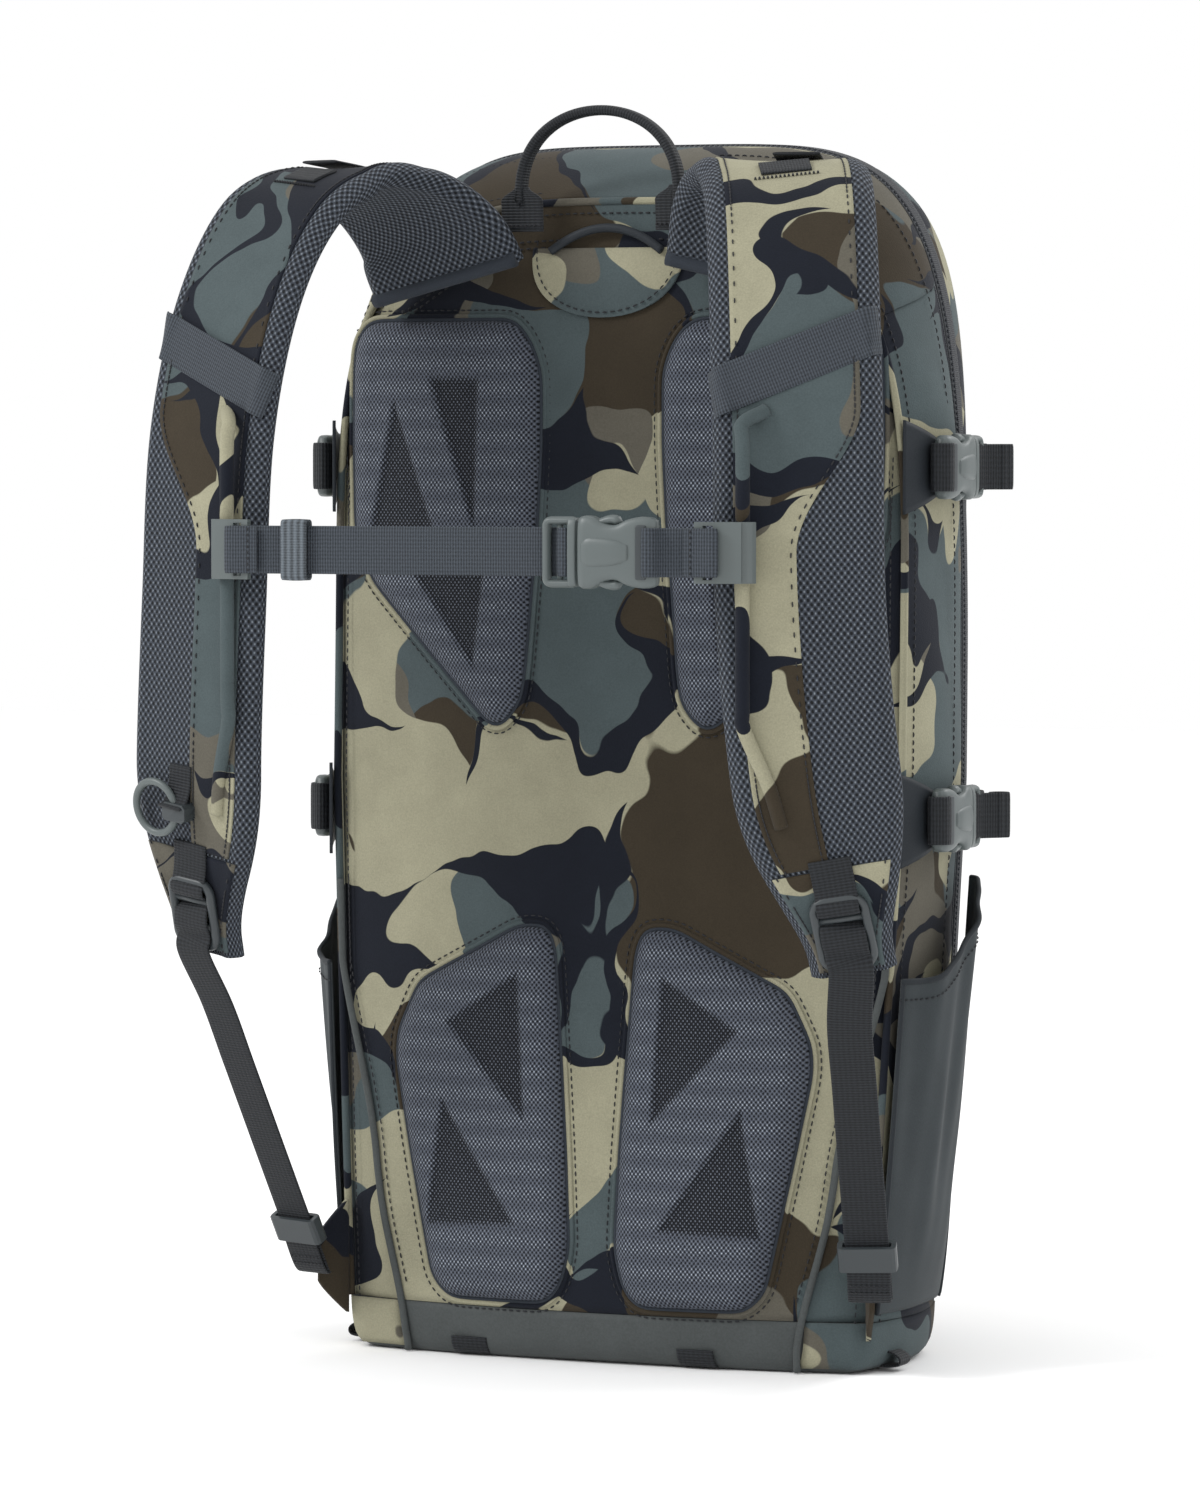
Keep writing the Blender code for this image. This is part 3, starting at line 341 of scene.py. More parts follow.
def build_print():
    """The printed pattern: warped noise cut into tan, brown, slate and grey patches with dark meanders."""
    group, given, result = new_group("patch_print", [("NodeSocketVector", "Shift", (0, 0, 0))],
                                     [("NodeSocketColor", "Color")])
    spot = link_nodes(group, "ShaderNodeTexCoord", {})
    moved = link_nodes(group, "ShaderNodeVectorMath", {0: spot.outputs["Object"], 1: given.outputs["Shift"]},
                       operation="ADD")
    warp = link_nodes(group, "ShaderNodeTexNoise", {"Vector": moved.outputs[0], "Scale": 30.0, "Detail": 1.5,
                                                    "Roughness": 0.4})
    bent = link_nodes(group, "ShaderNodeVectorMath", {0: warp.outputs["Color"], 1: (0.028, 0.028, 0.028),
                                                      2: moved.outputs[0]}, operation="MULTIPLY_ADD")
    colour = TAN
    fields = []
    for shift, scale, level, ink in ((0.0, 11.0, 0.500, BROWN), (1.7, 12.5, 0.515, SLATE),
                                     (4.1, 14.0, 0.600, STONE), (6.3, 12.0, 0.590, TAN)):
        where = link_nodes(group, "ShaderNodeVectorMath", {0: bent.outputs[0], 1: (shift, shift, shift)},
                           operation="ADD")
        noise = link_nodes(group, "ShaderNodeTexNoise", {"Vector": where.outputs[0], "Scale": scale,
                                                         "Detail": 1.0, "Roughness": 0.40})
        fields.append(noise.outputs["Fac"])
        mask = above(group, noise.outputs["Fac"], level)
        colour = link_nodes(group, "ShaderNodeMix", {"Factor": mask, "A": colour, "B": ink},
                            data_type="RGBA").outputs["Result"]
    for field, level, shift, share in ((fields[1], 0.500, 2.9, -0.071), (fields[0], 0.485, 8.8, -0.080)):
        where = link_nodes(group, "ShaderNodeVectorMath", {0: bent.outputs[0], 1: (shift, shift, shift)},
                           operation="ADD")
        off = maths(group, "SUBTRACT", field, level)
        size = maths(group, "ABSOLUTE", off.outputs[0])
        width = link_nodes(group, "ShaderNodeTexNoise", {"Vector": where.outputs[0], "Scale": 16.0,
                                                         "Detail": 0.0})
        room = maths(group, "MULTIPLY_ADD", width.outputs["Fac"], 0.18, share)
        thin = maths(group, "SUBTRACT", room.outputs[0], size.outputs[0])
        mask = above(group, thin.outputs[0], 0.0, 600.0)
        colour = link_nodes(group, "ShaderNodeMix", {"Factor": mask, "A": colour, "B": NAVY},
                            data_type="RGBA").outputs["Result"]
    group.links.new(colour, result.inputs["Color"])
    return group


def build_cloth_grain():
    """Woven cloth's fine detail: a thread-scale height and a soft change of tone."""
    group, given, result = new_group(
        "cloth_grain", [("NodeSocketColor", "Color", (1, 1, 1, 1)), ("NodeSocketFloat", "Threads", 1400.0),
                        ("NodeSocketFloat", "Height", 0.25)],
        [("NodeSocketColor", "Color"), ("NodeSocketVector", "Normal")])
    spot = link_nodes(group, "ShaderNodeTexCoord", {})
    fine = link_nodes(group, "ShaderNodeTexNoise", {"Vector": spot.outputs["Object"],
                                                    "Scale": given.outputs["Threads"], "Detail": 2.0})
    wide = link_nodes(group, "ShaderNodeTexNoise", {"Vector": spot.outputs["Object"], "Scale": 60.0,
                                                    "Detail": 3.0})
    tone = maths(group, "MULTIPLY_ADD", fine.outputs["Fac"], 0.45, 0.62)
    drift = maths(group, "MULTIPLY_ADD", wide.outputs["Fac"], 0.30, tone.outputs[0])
    shade = link_nodes(group, "ShaderNodeVectorMath", {0: given.outputs["Color"], "Scale": drift.outputs[0]},
                       operation="SCALE")
    bump = link_nodes(group, "ShaderNodeBump", {"Strength": given.outputs["Height"], "Distance": 0.0006,
                                                "Height": fine.outputs["Fac"]})
    group.links.new(shade.outputs[0], result.inputs["Color"])
    group.links.new(bump.outputs[0], result.inputs["Normal"])
    return group


# Linear colours of the print's inks
TAN = (0.280, 0.268, 0.188, 1.0)
BROWN = (0.036, 0.028, 0.018, 1.0)
SLATE = (0.060, 0.079, 0.083, 1.0)
STONE = (0.096, 0.089, 0.071, 1.0)
NAVY = (0.007, 0.009, 0.015, 1.0)
print_group = build_print()
grain_group = build_cloth_grain()


def woven(name, colour, roughness, threads=1400.0, height=0.25, shift=None, sheen=0.04):
    """A woven fabric: its colour, or the print shifted by shift, under the thread grain."""
    made = plain_finish(name, colour, roughness)
    tree = made.node_tree
    shader = tree.nodes["Principled BSDF"]
    shader.inputs["Sheen Weight"].default_value = sheen
    shader.inputs["Sheen Roughness"].default_value = 0.6
    shader.inputs["Specular IOR Level"].default_value = 0.12
    grain = link_nodes(tree, "ShaderNodeGroup", {}, node_tree=grain_group)
    grain.inputs["Threads"].default_value = threads
    grain.inputs["Height"].default_value = height
    grain.inputs["Color"].default_value = (*colour, 1.0)
    if shift is not None:
        print_node = link_nodes(tree, "ShaderNodeGroup", {}, node_tree=print_group)
        print_node.inputs["Shift"].default_value = shift
        tree.links.new(print_node.outputs["Color"], grain.inputs["Color"])
    tree.links.new(grain.outputs["Color"], shader.inputs["Base Color"])
    tree.links.new(grain.outputs["Normal"], shader.inputs["Normal"])
    return made


printed_body = woven("printed_body_cloth", (0.2, 0.2, 0.15), 0.85, shift=(0.0, 0.0, 0.0))
printed_door = woven("printed_door_cloth", (0.2, 0.2, 0.15), 0.85, shift=(0.31, 0.12, 0.05))
coated_cloth = woven("coated_base_cloth", (0.059, 0.066, 0.066), 0.55, threads=1000.0, height=0.10,
                     sheen=0.05)

BACK_ROWS, BACK_COLUMNS = 190, 121
EDGE_ROLL = 0.0040  # how far the cloth turns in at the back seam


def back_surface():
    """The back between its seams: rows follow the arch, columns run seam to seam, each edge rolled in."""
    x, z = arch(SEAM_ARCH, np.linspace(0.0, 1.0, BACK_ROWS), TRAY_WALL)
    q = np.linspace(-1.0, 1.0, BACK_COLUMNS)
    wide, tall = x[:, None] * q, np.broadcast_to(z[:, None], (BACK_ROWS, BACK_COLUMNS))
    return place(wide, back_depth(wide, tall) + EDGE_ROLL * np.abs(q) ** 14, tall)


points = back_surface()
points[..., 1] += ripples(points, 0.12, 0.0009, 3) * ease((points[..., 2] - 0.19) / 0.05)
back = surface("back_cloth", points, printed_body)
settle(thicken(back, CLOTH), "pack", "camo_fabric", "back_panel")


def gusset_surface(s, k, side):
    """The gusset's points at every pair of s (along the arch) and k (back seam to zip)."""
    rows, columns = np.meshgrid(s, k, indexing="ij")
    return on_side(place(*gusset(rows, columns)), side)


side_cloths = []
for side, word in ((1, "right"), (-1, "left")):
    points = gusset_surface(np.linspace(0.0, TOP_SEAM, 150), np.linspace(0.03, 1.0, 40), side)
    mid = np.sin(np.linspace(0, math.pi, 40))[None, :]
    points[..., 0] += side * (ripples(points, 0.09, 0.0016, 11 + side) - 0.0004) * mid
    made = surface("side_cloth_" + word, points, printed_body)
    settle(thicken(made, CLOTH), "pack", "camo_fabric", "side_panel_" + word)
    side_cloths.append(made)

half = gusset_surface(np.linspace(TOP_SEAM, 1.0, 70), np.linspace(0.03, 1.0, 36), 1)
points = both_sides(half)
points[..., 2] += ripples(points, 0.08, 0.0010, 21) * np.sin(np.linspace(0, math.pi, 36))[None, :]
crown = surface("crown_cloth", points, printed_body)
settle(thicken(crown, CLOTH), "pack", "camo_fabric", "top_panel")


# ---- The front door and the base below it ----
# The door is one cut panel of the printed cloth inside the U of the zip; the base below its fold is fixed.

FRONT_AT_SIDE = ((1.0, 0.0), (0.985, 0.10), (0.90, 0.33), (0.79, 0.57), (0.70, 0.78), (0.60, 0.91),
                 (0.38, 0.98), (0.0, 1.0))
FRONT_AT_TOP = ((1.0, 0.0), (1.003, 0.15), (0.985, 0.35), (0.91, 0.58), (0.81, 0.78), (0.68, 0.91),
                (0.45, 0.98), (0.0, 1.0))
DOOR_EDGE = 0.091
DOOR_SPINE_TOP = 0.330
FOLD_GAP = 0.0005


def front_profile(s, count):
    """Half profile of the front (share of width, share of depth), blended from the side's to the crown's."""
    knots = np.arange(len(FRONT_AT_SIDE))
    at = np.linspace(0, len(FRONT_AT_SIDE) - 1, count)
    low, high = (np.stack([np.interp(at, knots, column) for column in zip(*table)], axis=-1)
                 for table in (FRONT_AT_SIDE, FRONT_AT_TOP))
    mix = ease((s - STRAIGHT) / SHOULDER_BLEND)[:, None, None]
    blended = low * (1 - mix) + high * mix
    for _ in range(6):
        blended[:, 1:-1] = (blended[:, :-2] + 2 * blended[:, 1:-1] + blended[:, 2:]) / 4
    return blended


def door_spine(s):
    """The height on the middle line that a row of the door ends at: it climbs with the sides, then stays."""
    return DOOR_FOOT + (DOOR_SPINE_TOP - DOOR_FOOT) * np.minimum(s / STRAIGHT, 1.0)


def door_surface(s, count):
    """The door's right half: rows follow the zip, columns run from the zip to the middle line."""
    rim_x, rim_z = arch(ZIP_ARCH, s, DOOR_FOOT + FOLD_GAP)
    spine = door_spine(s)
    profile = front_profile(s, count)
    x = rim_x[:, None] * profile[..., 0]
    z = spine[:, None] + (rim_z - spine)[:, None] * profile[..., 0]
    start = (zip_depth(s) + 0.001)[:, None]
    return place(x, start + (front_depth(z) - start) * profile[..., 1], z)


half = door_surface(np.linspace(0.0, 1.0, 150), 60)
points = np.concatenate([half, mirror_x(half[:, -2::-1])], axis=1)
outward = grid_normals(points)
fade = np.sin(np.linspace(0, math.pi, points.shape[1]))[None, :] * ease(np.linspace(0, 1, 150)
                                                                        / 0.06)[:, None]
points = points - outward * (ripples(points, 0.10, 0.0016, 31) * fade)[..., None]
door = surface("door_cloth", points, printed_door)
settle(thicken(door, CLOTH), "front_panel", "camo_fabric", "front_panel")


def base_surface(z):
    """The fixed base: half a ring at each height z, the front profile from the zip round to the middle."""
    profile = front_profile(np.zeros(len(z)), 50)
    x = ZIP_ARCH[0] * foot_taper(z)
    depth = DOOR_EDGE + (front_depth(z)[:, None] - DOOR_EDGE) * profile[..., 1]
    return place(x[:, None] * profile[..., 0], depth, z[:, None])


half = base_surface(np.linspace(TRAY_WALL, DOOR_FOOT - 0.0025, 24))
points = np.concatenate([half, mirror_x(half[:, -2::-1])], axis=1)
base = surface("base_cloth", points, printed_door)
settle(thicken(base, CLOTH), "pack", "camo_fabric", "front_base")


# ---- The coated tray: the bag's foot, one sheet folded up 22 mm all round and sewn to the print ----


def tray_outline(z):
    """Half the tray's outline at height z: back seam, side, rounded front corner, front; from the middle."""
    back_x = SEAM_ARCH[0] * (1 - FOOT_TAPER) * np.linspace(0.0, 1.0, 20)
    back_d = back_depth(back_x, np.full(20, z))
    side_x, side_d, _ = gusset(np.zeros(10), np.linspace(0.06, 1.0, 10))
    profile = front_profile(np.zeros(1), 40)[0]
    front_x = side_x[-1] * profile[1:, 0]
    front_d = side_d[-1] + (FRONT_FOOT + FRONT_CHAMFER * z / DOOR_FOOT - side_d[-1]) * profile[1:, 1]
    return np.concatenate([back_x, side_x, front_x]), np.concatenate([back_d, side_d, front_d])


def tray_surface():
    """The tray's wall and its rounded edge: outlines stacked up, each drawn in towards the middle."""
    rows = []
    middle = 0.06
    for z, inset in TRAY_LEVELS:
        x, d = tray_outline(z)
        reach = np.hypot(x, d - middle)
        share = 1 - inset / np.maximum(reach, 1e-6)
        half = place(x * share, middle + (d - middle) * share, z)
        rows.append(np.concatenate([half, mirror_x(half[-2:0:-1])]))
    return np.array(rows)


TRAY_LEVELS = ((0.0222, 0.0), (0.019, 0.0001), (0.016, 0.0003), (0.013, 0.0006), (0.010, 0.0011),
               (0.007, 0.0019), (0.0045, 0.0032), (0.0025, 0.0050), (0.0011, 0.0072), (0.0003, 0.0096),
               (0.0, 0.0125), (0.0, 0.030), (0.0, 0.060))
points = tray_surface()
tray = surface("coated_tray", points, coated_cloth, wrap=True, caps=True)
settle(tray, "pack", "coated_fabric", "bottom_tray")


# ---- Back pads: foam under knitted spacer mesh, set in bound cut-outs of the back cloth ----
# Each swells from a stitched border; triangles of coarser, darker mesh show the foam's vent cut-outs.

UPPER_PAD = ((0.449, 0.042, 0.116), (0.440, 0.034, 0.1225), (0.427, 0.029, 0.1235), (0.395, 0.029, 0.1238),
             (0.358, 0.031, 0.1228), (0.337, 0.033, 0.1140), (0.300, 0.036, 0.0775), (0.285, 0.038, 0.0625),
             (0.274, 0.047, 0.0520))
PAD_EDGE, PAD_HIGH, PAD_CROWN = 0.011, 0.0078, 0.0016
RIB_PITCH, RIB_HIGH, VENT_DEEP, VENT_BLUR = 0.0105, 0.0006, 0.0014, 0.0035
LOWER_PAD = ((0.188, 0.023, 0.036), (0.179, 0.0195, 0.053), (0.162, 0.0180, 0.0860),
             (0.140, 0.0165, 0.0965), (0.128, 0.0155, 0.0970), (0.090, 0.0130, 0.0895),
             (0.050, 0.0112, 0.0810), (0.034, 0.0150, 0.0775), (0.026, 0.0215, 0.0690))
UPPER_VENTS = (((0.056, 0.424), (0.080, 0.424), (0.058, 0.360)), ((0.0985, 0.414), (0.112, 0.352),
                                                                  (0.076, 0.352)),
               ((0.052, 0.350), (0.058, 0.300), (0.088, 0.340)))
LOWER_VENTS = (((0.034, 0.168), (0.068, 0.146), (0.030, 0.106)), ((0.070, 0.112), (0.078, 0.058),
                                                                  (0.034, 0.060)))


def edge_distance(x, z, outline):
    """Signed distance from points to a polygon's edge, positive inside."""
    corners = np.asarray(outline, float)
    after = np.roll(corners, -1, axis=0)
    spot = np.stack([x, z], axis=-1)[..., None, :]
    way = after - corners
    share = np.clip(((spot - corners) * way).sum(axis=-1) / (way**2).sum(axis=-1), 0.0, 1.0)
    gap = np.linalg.norm(spot - corners - share[..., None] * way, axis=-1).min(axis=-1)
    crossing = (corners[:, 1] > spot[..., 1]) != (after[:, 1] > spot[..., 1])
    height = np.where(np.abs(way[:, 1]) < 1e-9, 1e-9, way[:, 1])
    at = corners[:, 0] + (spot[..., 1] - corners[:, 1]) * way[:, 0] / height
    inside = (crossing & (spot[..., 0] < at)).sum(axis=-1) % 2 == 1
    return np.where(inside, gap, -gap)


def pad_outline(table, grow=0.0):
    """A pad's edge as 240 points: its table's two sides joined, smoothed, and moved out by grow."""
    rows = np.asarray(table)
    near, far = rows[:, [1, 0]], rows[::-1, [2, 0]]
    corners = np.concatenate([near, far])
    ring = resample(corners, 240)
    for _ in range(10):
        ring = (np.roll(ring, 1, axis=0) + 2 * ring + np.roll(ring, -1, axis=0)) / 4
    way = np.roll(ring, -1, axis=0) - np.roll(ring, 1, axis=0)
    way /= np.linalg.norm(way, axis=1)[:, None]
    return ring + np.stack([-way[:, 1], way[:, 0]], axis=-1) * -grow


def resample(points, count, closed=True):
    """Points spaced evenly along a polyline."""
    points = np.asarray(points, float)
    if closed:
        points = np.concatenate([points, points[:1]])
    run = np.concatenate([[0.0], np.cumsum(np.linalg.norm(np.diff(points, axis=0), axis=1))])
    at = np.linspace(0.0, run[-1], count, endpoint=not closed)
    return np.stack([np.interp(at, run, points[:, i]) for i in range(points.shape[1])], axis=-1)


def pad_surface(table, side):
    """The pad as rings: the smoothed outline shrunk to its middle, each raised by its gap to the edge.

    The height is a quarter circle over PAD_EDGE, then a low crown, with faint ribs and pressed vents."""
    ring = pad_outline(table)
    middle = ring.mean(axis=0)
    shrink = 1 - np.linspace(0.0, 1.0, 64) ** 1.15
    shrink[-1] = 0.004
    flat = middle + (ring - middle) * shrink[:, None, None]
    gap = np.maximum(edge_distance(flat[..., 0], flat[..., 1], ring), 0.0)
    gap[0] = 0.0
    rise = np.sqrt(1 - (1 - np.clip(gap / PAD_EDGE, 0, 1)) ** 2) * PAD_HIGH
    rise = rise + PAD_CROWN * ease(gap / 0.03)
    rib = (0.5 + 0.5 * np.cos(flat[..., 1] * 2 * math.pi / RIB_PITCH)) * ease(gap / 0.009)
    vent = vent_mask(flat, table)
    rise = rise + RIB_HIGH * rib * (1 - vent) - VENT_DEEP * vent
    top = place(flat[..., 0], back_depth(flat[..., 0], flat[..., 1]) - rise + 0.0002, flat[..., 1])
    skirt = place(ring[:, 0], back_depth(ring[:, 0], ring[:, 1]) + 0.0012, ring[:, 1])[None]
    points = np.concatenate([skirt, top])
    return on_side(points, side), np.concatenate([vent[:1], vent]), \
        np.concatenate([rib[:1] * 0, rib * (1 - vent)]), np.concatenate([flat[:1], flat])


def vent_mask(flat, table):
    """1 inside a pad's vent triangles and 0 outside, eased over VENT_BLUR across their edges."""
    found = np.zeros(flat.shape[:2])
    for triangle in UPPER_VENTS if table is UPPER_PAD else LOWER_VENTS:
        found = np.maximum(found, ease(edge_distance(flat[..., 0], flat[..., 1], triangle) / VENT_BLUR
                                       + 0.5))
    return found


def build_mesh_knit():
    """Spacer mesh: staggered holes between light loops, drawn from a UV in metres, with a painted highlight
    on the loops' tips.
    """
    group, given, result = new_group("mesh_knit", [("NodeSocketVector", "Lay", None),
                                                   ("NodeSocketFloat", "Pitch", 0.0018),
                                                   ("NodeSocketFloat", "Row", 0.0026),
                                                   ("NodeSocketFloat", "Open", 0.0),
                                                   ("NodeSocketFloat", "Painted_Highlight", 0.0),
                                                   ("NodeSocketColor", "Ground", (0.02, 0.024, 0.03, 1)),
                                                   ("NodeSocketColor", "Loop", (0.12, 0.14, 0.18, 1))],
                                     [("NodeSocketColor", "Color"), ("NodeSocketVector", "Normal")])
    parts = link_nodes(group, "ShaderNodeSeparateXYZ", {0: given.outputs["Lay"]})
    waves = []
    for axis, step in (("X", "Pitch"), ("Y", "Row")):
        turns = maths(group, "DIVIDE", parts.outputs[axis], given.outputs[step])
        angle = maths(group, "MULTIPLY", turns.outputs[0], 2 * math.pi)
        waves.append(maths(group, "COSINE", angle.outputs[0]).outputs[0])
    cell = maths(group, "MULTIPLY", waves[0], waves[1])
    fluff = link_nodes(group, "ShaderNodeTexNoise", {"Vector": given.outputs["Lay"], "Scale": 900.0,
                                                     "Detail": 2.0})
    rough = maths(group, "MULTIPLY_ADD", fluff.outputs["Fac"], 1.1, -0.55)
    height = maths(group, "SUBTRACT", rough.outputs[0], cell.outputs[0])
    level = maths(group, "MULTIPLY_ADD", given.outputs["Open"], 0.75, -0.35)
    raised = maths(group, "SUBTRACT", height.outputs[0], level.outputs[0])
    mask = maths(group, "MULTIPLY_ADD", raised.outputs[0], 1.6, 0.35)
    mask.use_clamp = True
    # Painted highlight: the tips of the loops are mixed towards a pale blue-grey, as strongly as the group's
    # highlight input asks.
    tips = maths(group, "SUBTRACT", height.outputs[0], 0.45)
    tips.use_clamp = True
    painted_tip_highlight = maths(group, "MULTIPLY", tips.outputs[0], given.outputs["Painted_Highlight"])
    body = link_nodes(group, "ShaderNodeMix", {"Factor": mask.outputs[0], "A": given.outputs["Ground"],
                                               "B": given.outputs["Loop"]}, data_type="RGBA")
    lit = link_nodes(group, "ShaderNodeMix", {"Factor": painted_tip_highlight.outputs[0], "A": body.outputs["Result"],
                                              "B": (0.42, 0.47, 0.53, 1)}, data_type="RGBA")
    bump = link_nodes(group, "ShaderNodeBump", {"Strength": 0.55, "Distance": 0.0008,
                                                "Height": height.outputs[0]})
    group.links.new(lit.outputs["Result"], result.inputs["Color"])
    group.links.new(bump.outputs[0], result.inputs["Normal"])
    return group


knit_group = build_mesh_knit()


def knitted(name, pitch, row, opened, painted_highlight_amount, ground, loop, marked=False):
    """Spacer mesh on the piece's own UV with a painted highlight on its loop tips; marked pieces carry
    'vent' and 'rib' attributes, and their rib attribute sets how strong the painted highlight is.
    """
    made = plain_finish(name, loop[:3], 0.75)
    tree = made.node_tree
    shader = tree.nodes["Principled BSDF"]
    shader.inputs["Sheen Weight"].default_value = 0.03
    shader.inputs["Specular IOR Level"].default_value = 0.2
    lay = link_nodes(tree, "ShaderNodeUVMap", {}, uv_map="lay")
    knit = link_nodes(tree, "ShaderNodeGroup", {"Lay": lay.outputs["UV"]}, node_tree=knit_group)
    for key, value in (("Pitch", pitch), ("Row", row), ("Open", opened), ("Painted_Highlight", painted_highlight_amount),
                       ("Ground", ground), ("Loop", loop)):
        knit.inputs[key].default_value = value
    if marked:
        vent = link_nodes(tree, "ShaderNodeAttribute", {}, attribute_name="vent")
        rib = link_nodes(tree, "ShaderNodeAttribute", {}, attribute_name="rib")
        # Painted highlight: strongest on the pads' rib crests, 0.30 between them.
        rib_painted_highlight = maths(tree, "MULTIPLY_ADD", rib.outputs["Fac"], 1.4, 0.30)
        tree.links.new(vent.outputs["Fac"], knit.inputs["Open"])
        tree.links.new(rib_painted_highlight.outputs[0], knit.inputs["Painted_Highlight"])
    tree.links.new(knit.outputs["Color"], shader.inputs["Base Color"])
    tree.links.new(knit.outputs["Normal"], shader.inputs["Normal"])
    return made


def mark(piece, **fields):
    """Stores per-point values on a grid piece as named attributes."""
    for name, values in fields.items():
        layer = piece.data.attributes.new(name, "FLOAT", "POINT")
        layer.data.foreach_set("value", np.asarray(values, np.float32).ravel())


def lay_flat(piece, flat):
    """Replaces the UV map by given flat coordinates of each point, in metres."""
    index = np.empty(len(piece.data.loops), np.int32)
    piece.data.loops.foreach_get("vertex_index", index)
    piece.data.uv_layers["lay"].data.foreach_set("uv", flat.reshape(-1, 2)[index].astype(np.float32).ravel())


def path_frames(path, up, closed=False):
    """Unit vectors along a path, across it and outward, with outward near the directions given in up."""
    if closed:
        along = np.roll(path, -1, axis=0) - np.roll(path, 1, axis=0)
    else:
        along = np.gradient(path, axis=0)
    along = along / np.linalg.norm(along, axis=1)[:, None]
    up = np.broadcast_to(np.asarray(up, float), path.shape)
    up = up - (up * along).sum(axis=1)[:, None] * along
    up = up / np.linalg.norm(up, axis=1)[:, None]
    return along, np.cross(along, up), up


def tube(name, path, radius, finish, up=(0.0, -1.0, 0.0), closed=False, sides=10, flat=1.0):
    """A round or flattened cord of cloth along a path; flat is its rise over its width."""
    path = np.asarray(path, float)
    _, across, outward = path_frames(path, up, closed)
    turn = np.linspace(0, 2 * math.pi, sides, endpoint=False)
    size = np.broadcast_to(radius, (len(path),))[:, None, None]
    rings = path[:, None] + size * (np.cos(turn)[:, None] * across[:, None]
                                    + flat * np.sin(turn)[:, None] * outward[:, None])
    return surface(name, rings, finish, wrap=True, ring=closed, caps=not closed)


STITCH = 0.66  # a stitch's length as a share of the pitch


def stitches(name, path, up, finish, pitch=0.0034, radius=0.00034, closed=False):
    """A row of thread stitches along a path, in one mesh: six-sided spindles spaced by pitch."""
    path = np.asarray(path, float)
    up = np.broadcast_to(np.asarray(up, float), path.shape)
    both = np.concatenate([path, up], axis=1)
    length = np.linalg.norm(np.diff(path, axis=0), axis=1).sum()
    count = max(int(length / pitch), 2)
    even = resample(both, count, closed)
    along, across, outward = path_frames(even[:, :3], even[:, 3:], closed)
    reach = np.array([-0.5, -0.38, 0.0, 0.38, 0.5]) * pitch * STITCH
    size = np.array([0.25, 0.8, 1.0, 0.8, 0.25]) * radius
    lift = np.array([-0.7, 0.1, 0.5, 0.1, -0.7]) * radius
    turn = np.linspace(0, 2 * math.pi, 6, endpoint=False)
    centre = even[:, None, :3] + along[:, None] * reach[:, None] + outward[:, None] * lift[:, None]
    rings = centre[:, :, None] + size[:, None, None] * (
        np.cos(turn)[:, None] * across[:, None, None] + np.sin(turn)[:, None] * outward[:, None, None])
    points = rings.reshape(-1, 3)
    step = np.arange(6)
    quads = []
    for k in range(4):
        quads.append(np.stack([k * 6 + step, k * 6 + 6 + step, k * 6 + 6 + (step + 1) % 6,
                               k * 6 + (step + 1) % 6], axis=-1))
    quads = (np.concatenate(quads)[None] + 30 * np.arange(count)[:, None, None]).reshape(-1, 4)
    first = step + 30 * np.arange(count)[:, None]
    mesh = bpy.data.meshes.new(name)
    mesh.from_pydata(points.tolist(), [], quads.tolist() + first[:, ::-1].tolist() + (first + 24).tolist())
    mesh.materials.append(finish)
    made = bpy.data.objects.new(name, mesh)
    bpy.context.scene.collection.objects.link(made)
    return made


# The pad mesh carries a painted highlight on its loop tips, strongest on the ribs.
pad_mesh = knitted("pad_spacer_mesh", 0.0019, 0.0024, 0.0, 0.9, (0.006, 0.007, 0.010, 1.0),
                   (0.078, 0.089, 0.115, 1.0), marked=True)
thread = plain_finish("dark_thread", (0.008, 0.009, 0.012), 0.7)
pad_piping = woven("pad_border_cloth", (0.030, 0.036, 0.046), 0.8, threads=2200.0)

for side, word in ((1, "right"), (-1, "left")):
    for level, table in (("upper", UPPER_PAD), ("lower", LOWER_PAD)):
        points, vent, rib, flat = pad_surface(table, side)
        pad = surface(f"{level}_pad_mesh_{word}", points, pad_mesh, wrap=True, caps=True)
        lay_flat(pad, flat)
        mark(pad, vent=vent, rib=rib)
        settle(pad, "pack", "spacer_mesh", f"{level}_pad_{word}")
        for part, grow, size, finish in (("border", 0.0004, 0.0010, pad_piping),
                                         ("lip", 0.0021, 0.0011, printed_body)):
            ring = pad_outline(table, grow)
            path = place(ring[:, 0], back_depth(ring[:, 0], ring[:, 1]) - 0.0002, ring[:, 1])
            lip = tube(f"{level}_pad_{part}_{word}", on_side(path, side), size, finish, closed=True,
                       flat=0.8)
            settle(lip, "pack", "camo_fabric")
        ring = pad_outline(table, 0.0046)
        seam_x, seam_z = arch(SEAM_ARCH, np.linspace(STRAIGHT, 1.0, 60), TRAY_WALL)
        room = np.interp(ring[:, 1], seam_z, seam_x) - ring[:, 0]
        start = int(np.argmin(room))
        ring = np.roll(ring, -start, axis=0)[np.roll(room, -start) > 0.003]
        path = place(ring[:, 0], back_depth(ring[:, 0], ring[:, 1]) - 0.0001, ring[:, 1])
        sewn = stitches(f"{level}_pad_stitching_{word}", on_side(path, side), (0, -1, 0), thread,
                        closed=len(ring) == len(room))
        settle(sewn, "pack", "camo_fabric")


# ---- Shoulder straps: contoured foam lined in mesh, with a printed face panel ----
# The mesh lining rolls over both edges; below the cross-band the print narrows beside open mesh.

STRAP_ROUTE = ((0.070, -0.003, 0.466), (0.077, -0.014, 0.487), (0.090, -0.030, 0.502),
               (0.104, -0.050, 0.507), (0.117, -0.074, 0.493), (0.127, -0.094, 0.455),
               (0.1335, -0.1060, 0.400), (0.136, -0.109, 0.330), (0.141, -0.1045, 0.260),
               (0.146, -0.092, 0.212), (0.148, -0.079, 0.180))


